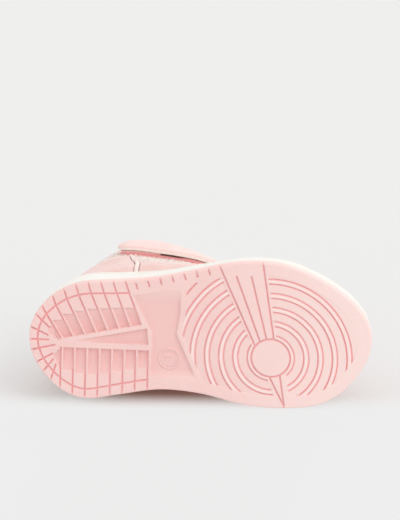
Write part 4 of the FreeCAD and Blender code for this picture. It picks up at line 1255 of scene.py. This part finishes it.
def make_upper_stitching(f):
    """Double rows along the overlays, rows along the facings, the heel tab and the heel's front edge."""
    paths = []
    for side in SIDES.values():
        for inset in (0.22, 0.42):
            for start, end, top in ((HEEL_OVERLAY_ANGLE + 5, MUDGUARD_ANGLE - 2, FOXING_TOP),
                                    (1.0, HEEL_OVERLAY_ANGLE - 4, HEEL_OVERLAY_TOP),
                                    (MUDGUARD_ANGLE + 3, 180.0, MUDGUARD_TOP)):
                paths.append((*level_line(side, start, end, top - inset), 0.0))
        for inset in (2.0, EYESTAY_WIDTH - 2.0):
            row = upright_line(side, lambda level, i=inset: throat_edge(level, i), THROAT_LEVEL - 0.5,
                               TOP_LEVEL - 0.3)
            paths.append((*row, 0.0))
        paths.append((*upright_line(side, 9.6, 6.45, 8.8), 0.12))
        heel_row = upright_line(side, lambda level: heel_edge(level) - 2.2, 1.4, HEEL_OVERLAY_TOP - 0.5)
        paths.append((*heel_row, 0.0))
    make_stitching("upper_stitching", paths, f["thread"])


def make_cup_stitching(f):
    """Thread in the channel of the sidewall."""
    angles = np.linspace(-180.0, 180.0, 1200)
    z = cup_top(sole_point(angles)[:, 0]) - CHANNEL_BELOW_LIP
    inset = CHANNEL_DEPTH - 0.1 + cup_slope(angles) * (z - CUP_BASE)
    line = np.concatenate([sole_point(angles, inset), z[:, None]], -1)
    outward = np.concatenate([sole_point(angles) - sole_point(angles, 1.0), 0 * z[:, None]], -1)
    runs = distances(line)
    middles = np.arange(1.5, runs[-1] - 1.5, CUP_STITCH_PITCH)
    ends = [sampled(middles + shift, runs, line) for shift in (-CUP_STITCH_HALF, CUP_STITCH_HALF)]
    points, faces = thread_pieces(*ends, sampled(middles, runs, outward), CUP_STITCH_RADIUS)
    new_piece("cup_stitching", points, faces, [f["cup"]], slot="cup_rubber")


# ---------------------------------------------------------------- collar, tongue and elastics
def make_collar(f):
    """Fleece roll along the top edge, and the padding behind the lining."""
    first, last = PANEL_OUTER - 0.4, lining_depth(np.array([TOP_LEVEL]))[0] + LINING_THICKNESS + 0.4
    half = 180 - throat_angle(np.array([TOP_LEVEL]))[0]
    s, t = np.meshgrid(np.linspace(0, 1, 300), np.linspace(0, 1, 25), indexing="ij")
    angle, level = half * (2 * s - 1), np.full(s.shape, TOP_LEVEL)
    point, outward = last_frame(angle, level)
    ends = np.sqrt(np.clip(1 - (2 * np.clip(np.abs(s - 0.5) - 0.485, 0, 1) / 0.03) ** 2, 0.02, 1))
    base = point - outward * (first + (last - first) * t)[..., None]
    dome = (0.5 + COLLAR_ROLL_HEIGHT * np.sin(math.pi * t) ** 0.6) * ends
    tufts = curls(base + np.stack([0 * dome, 0 * dome, dome], -1), 1.9, 41)
    height = dome * (0.82 + 0.3 * tufts)
    top = base + np.stack([0 * s, 0 * s, height], -1)
    bulge = (0.45 * tufts * np.sin(math.pi * np.clip(height / 3.0, 0, 1)) * np.sign(0.5 - t))[..., None]
    points, faces = shell_mesh(top + outward * bulge, base + np.array((0, 0, GLUE_GAP)))
    heights = np.concatenate([tufts.ravel(), 0 * tufts.ravel()])
    # the collar roll wears the darker fleece copy, as painted shade
    roll = new_piece("collar_roll_fleece", points, faces, [f["fleece_collar_shaded"]], slot="fleece_pink",
                     replaces=["collar_roll"], values={"height": heights})
    pad = panel("collar_padding", round_heel(lambda level: throat_edge(level, 8.0), 7.0, 8.9),
                MIDDLE_OUTER, lambda s, t, angle, level: lining_depth(level) - PADDING_GAP, [f["foam"]],
                pitch=1.4, roll=0.6, slot="foam", replaces=["collar_foam"])


def tongue_where(bottom, top):
    return round_toe(lambda level: throat_angle(level) - TONGUE_SIDE_GAP, bottom, top)


def make_tongue(f):
    """Padded tongue in one piece: quilted outside, fleece inside."""
    bottom, top = THROAT_LEVEL + 0.05, TONGUE_TOP
    s, t = np.meshgrid(np.linspace(0, 1, 70), np.linspace(0, 1, 110), indexing="ij")
    angle, level = tongue_where(bottom, top)(s, t)
    point, outward = last_frame(angle, level)
    across = 2 * s - 1
    edge = np.minimum(np.minimum(s, 1 - s) * 36, np.minimum(t, 1 - t) * 45)
    roll = np.sqrt(np.clip(1 - (1 - np.clip(edge / 1.9, 0, 1)) ** 2, 0, 1))
    quilt = np.zeros(s.shape)
    for line in (-0.42, 0.42):
        quilt = np.maximum(quilt, np.exp(-((across - line) * 18 / 0.9) ** 2))
    for line in (6.9, 7.7, 8.5):
        quilt = np.maximum(quilt, np.exp(-((level - line) * 11 / 0.9) ** 2))
    binding = np.exp(-((edge - 3.0) / 0.5) ** 2)
    dip = 0.75 * np.maximum(quilt * ramp(edge, 1.5, 4.0), binding)
    grain = 0.06 * creases(point, 1.3, 3)
    outer_depth = TONGUE_CROWN_DEPTH + 2.0 * across ** 2 + dip - grain + 1.9 * (1 - roll)
    tufts = curls(point, 2.2, 51)
    inner_depth = TONGUE_CROWN_DEPTH + TONGUE_THICKNESS + 1.2 * (1 - across ** 2) - 1.9 * (1 - roll) \
        - 0.5 * (1 - tufts) * roll
    points, faces = shell_mesh(point - outward * outer_depth[..., None],
                               point - outward * inner_depth[..., None])
    count = (s.shape[0] - 1) * (s.shape[1] - 1)
    piece = new_piece("tongue_pad", points, faces, [f["synthetic"], f["fleece_cream"]], body="",
                      slot="fleece_pink", marks=[0] * count + [1] * (len(faces) - count),
                      values={"height": np.concatenate([0.3 + 0 * s.ravel(), tufts.ravel()])})
    middle = place(bare_point(np.array([180.0]), np.array([TONGUE_SPLIT])))[0]
    way = place(bare_point(np.array([180.0]), np.array([TONGUE_SPLIT + 0.5])))[0] - middle
    way = way / np.linalg.norm(way) * 0.003
    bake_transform(piece)
    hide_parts("tongue_base", "tongue_top")


def make_elastics(f):
    """Three flat ribbed elastics over the tongue, as one piece."""
    points, faces, heights = [], [], []
    offset = 0
    for middle in ELASTIC_LEVELS:
        where = round_toe(lambda level: throat_angle(level) + 12.0, middle - ELASTIC_HALF_WIDTH,
                          middle + ELASTIC_HALF_WIDTH)
        s, t = np.meshgrid(np.linspace(0, 1, 260), np.linspace(0, 1, 33), indexing="ij")
        angle, level = where(s, t)
        point, outward = last_frame(angle, level)
        edge = np.sqrt(np.clip(1 - (2 * t - 1) ** 8, 0, 1)) * ramp(np.minimum(s, 1 - s), 0.0, 0.012)
        rib = 0.5 + 0.5 * np.cos(2 * math.pi * t * 5.0) * np.cos(2 * math.pi * s * 52)
        thick = 0.9 * (0.45 + 0.55 * edge)
        outer = point + outward * (GLUE_GAP + thick - 0.16 * (1 - rib))[..., None]
        some, quads = shell_mesh(outer, point + outward * (GLUE_GAP + 0 * s)[..., None])
        points.append(some)
        faces.append(quads + offset)
        heights.append(np.concatenate([rib.ravel(), 0 * rib.ravel()]))
        offset += len(some)
    new_piece("throat_elastics", np.concatenate(points), np.concatenate(faces), [f["elastic"]],
              slot="elastic", replaces=["elastic_bands"], values={"height": np.concatenate(heights)})


# ---------------------------------------------------------------- the ankle strap
STRAP_WIDTH_MM = 22.0
STRAP_MM_PER_DEGREE = 130.0 / 170.0
STRAP_EDGE_RADIUS = 0.95
STRAP_BACK_ROLL = 0.3          # how far the felt side lifts at its edge
STRAP_ROW_INSET = 2.4          # stitch row to edge
STRAP_JOIN = 158.0             # angle where the two halves meet
FOLD_REACH = 2.2               # half of the span between the points found on either side of a hinge
LOOPS_PAST_HINGE = 32.0        # degrees that the loop tape runs on past the hooks' hinge
PATCH_SIDE = 0.03              # share of the strap's width that the tapes leave free at each side


def strap_share(turn):
    return (turn - STRAP_TIP_END) / (STRAP_ANCHOR_END - STRAP_TIP_END)


def strap_where(turn, t):
    bottom = monotone(STRAP_BOTTOM_LEVELS, strap_share(turn) * (len(STRAP_BOTTOM_LEVELS) - 1))
    near_tip = np.maximum(1 - (turn - STRAP_TIP_END) / TIP_ROUNDING, 0.0)
    return -turn, bottom + STRAP_WIDTH_LEVELS * (0.5 + (t - 0.5) * (1 - 0.5 * near_tip ** 2))


def strap_standoff(turn):
    return STRAP_STANDOFF_TIP + (STRAP_STANDOFF_ANCHOR - STRAP_STANDOFF_TIP) * strap_share(turn)


def hinge_planes(turn, reach):
    """Points reach mm before and after the fold at an angle, on the strap's middle line, in metres."""
    ends = []
    for step in (-1, 1):
        at = np.array([turn + step * 0.5])
        angle, level = strap_where(at, np.array([0.5]))
        ends.append(last_point(angle, level, -strap_standoff(at) - STRAP_THICKNESS)[0])
    middle, way = (ends[0] + ends[1]) / 2, ends[1] - ends[0]
    way = way / np.linalg.norm(way) * reach
    return place(middle - way)[0], place(middle + way)[0]


def strap_body(name, start, end, materials, pitch=0.7):
    """Padded strap between two angles: crowned skin with sunk stitching, felt-backed, rolled edges."""
    count = int(abs(end - start) * STRAP_MM_PER_DEGREE / pitch)
    turns = np.linspace(start, end, count + 1)
    across, drop = edged_shares(STRAP_WIDTH_MM, pitch, STRAP_EDGE_RADIUS)
    turn, t = np.meshgrid(turns, across, indexing="ij")
    drops = np.broadcast_to(drop[None, :], turn.shape)
    end_edge = np.minimum(np.abs(turn - STRAP_TIP_END), np.abs(turn - STRAP_ANCHOR_END)) * STRAP_MM_PER_DEGREE
    end_drop = 1 - np.sqrt(np.clip(1 - (1 - np.clip(end_edge / STRAP_EDGE_RADIUS, 0, 1)) ** 2, 0, 1))
    drops = np.maximum(drops, end_drop)
    angle, level = strap_where(turn, t)
    point, outward = last_frame(angle, level)
    from_edge = np.minimum(np.minimum(t, 1 - t) * STRAP_WIDTH_MM, end_edge)
    seam = np.exp(-((from_edge - STRAP_ROW_INSET) / 0.55) ** 2)
    crown = ramp(from_edge, 2.0, 6.5)
    grain = 0.05 * creases(point, 1.2, 9)
    off = strap_standoff(turn)
    relief = (0.65 * crown - 0.3 * seam + grain) * (1 - drops)
    outer = off + STRAP_THICKNESS - STRAP_EDGE_RADIUS * drops + relief
    inner = off + STRAP_BACK_ROLL * drops
    points, faces = shell_mesh(point + outward * outer[..., None], point + outward * inner[..., None])
    sheet = (turn.shape[0] - 1) * (turn.shape[1] - 1)
    marks = [0] * sheet + [1] * (len(faces) - sheet)

    paths = []

    def add_row(row_turn, row_share):
        a, l = strap_where(row_turn, row_share)
        paths.append(stitch_path(a, l, -(strap_standoff(row_turn) + STRAP_THICKNESS - 0.2)))

    at_tip = start == STRAP_TIP_END
    row = STRAP_ROW_INSET / STRAP_WIDTH_MM
    row_ends = (start + (2.0 if at_tip else 0.0), end - (2.0 if end == STRAP_ANCHOR_END else 0.0))
    for share in (row, 1 - row):
        add_row(np.linspace(*row_ends, 200), np.full(200, share))
    for at in (STRAP_TIP_END + 3.2,) if at_tip else (STRAP_ANCHOR_END - 3.2, STRAP_HINGE + 2.0):
        add_row(np.full(60, at), np.linspace(0.14, 0.86, 60))
    thread_points, thread_faces = thread_pieces(*[np.concatenate(column) for column in zip(*paths)])
    all_faces = faces.tolist() + [[i + len(points) for i in face] for face in thread_faces]
    marks += [2] * len(thread_faces)
    return new_piece(name, np.concatenate([points, thread_points]), all_faces, materials, body="",
                     slot="synthetic_pink", marks=marks)


def make_strap(f):
    """Two padded halves, the hooks under the tip and the loops on the shoe."""
    materials = [f["strap"], f["felt"], f["thread"]]
    lateral = strap_body("strap_lateral_half", STRAP_TIP_END, STRAP_JOIN, materials)
    medial = strap_body("strap_medial_half", STRAP_JOIN, STRAP_ANCHOR_END, materials)
    tip_start, tip_end = hinge_planes(STRAP_TIP_HINGE, FOLD_REACH)
    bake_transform(lateral)
    band_start, band_end = hinge_planes(STRAP_HINGE, FOLD_REACH)
    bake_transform(medial)
    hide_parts("strap_tip_skin", "strap_tip_backing", "strap_band_skin", "strap_band_backing")
    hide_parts("strap_anchor_skin", "strap_anchor_backing")

    hook_outer = strap_standoff(np.array([STRAP_TIP_HINGE]))[0] - GLUE_GAP
    hook_inner = hook_outer - PATCH_THICKNESS

    tape = STRAP_TIP_HINGE - STRAP_TIP_END
    loops = tape + LOOPS_PAST_HINGE

    def hook_where(s, t):
        return strap_where(STRAP_TIP_END + 1.5 + (tape - 4) * s, PATCH_SIDE + (1 - 2 * PATCH_SIDE) * t)

    def loop_where(s, t):
        return strap_where(STRAP_TIP_END + 1 + loops * s, PATCH_SIDE + (1 - 2 * PATCH_SIDE) * t)

    def loop_outer(s, t, angle, level):
        """Thinner under the strap's fold, thicker past it, where no hooks fill the gap."""
        turned = s * loops
        fold = ramp(turned, tape - 6, tape - 3) - ramp(turned, tape + 8, tape + 11)
        past_hinge = ramp(turned, tape + 9, tape + 13)
        return -(hook_inner - HINGE_CLEARANCE) + 0.35 * fold - 0.3 * past_hinge

    panel("hook_tape", hook_where, -hook_outer, -hook_inner, [f["hooks"]], pitch=0.4, roll=0.15,
          body="strap_tip", inner_relief=lambda p, a, l: 0.1 * creases(p, 0.9, 61), slot="hook_tape",
          replaces=["hook_patch"])
    panel("loop_tape", loop_where, loop_outer, PANEL_OUTER - GLUE_GAP, [f["loops"]], pitch=0.4, roll=0.35,
          relief=lambda p, a, l: 0.1 * curls(p, 1.0, 71), slot="loop_tape", replaces=["loop_patch"])


# ---------------------------------------------------------------- assembly
make_camera()
finishes = make_materials()
make_stage()
make_outsole(finishes["rubber"])
make_cup(finishes["cup"])
make_cup_stitching(finishes)
make_footbed(finishes["fleece_cream"])
dress_cad_parts(finishes)
make_quarters(finishes)
make_overlays(finishes)
make_upper_stitching(finishes)
make_collar(finishes)
make_tongue(finishes)
make_elastics(finishes)
make_strap(finishes)
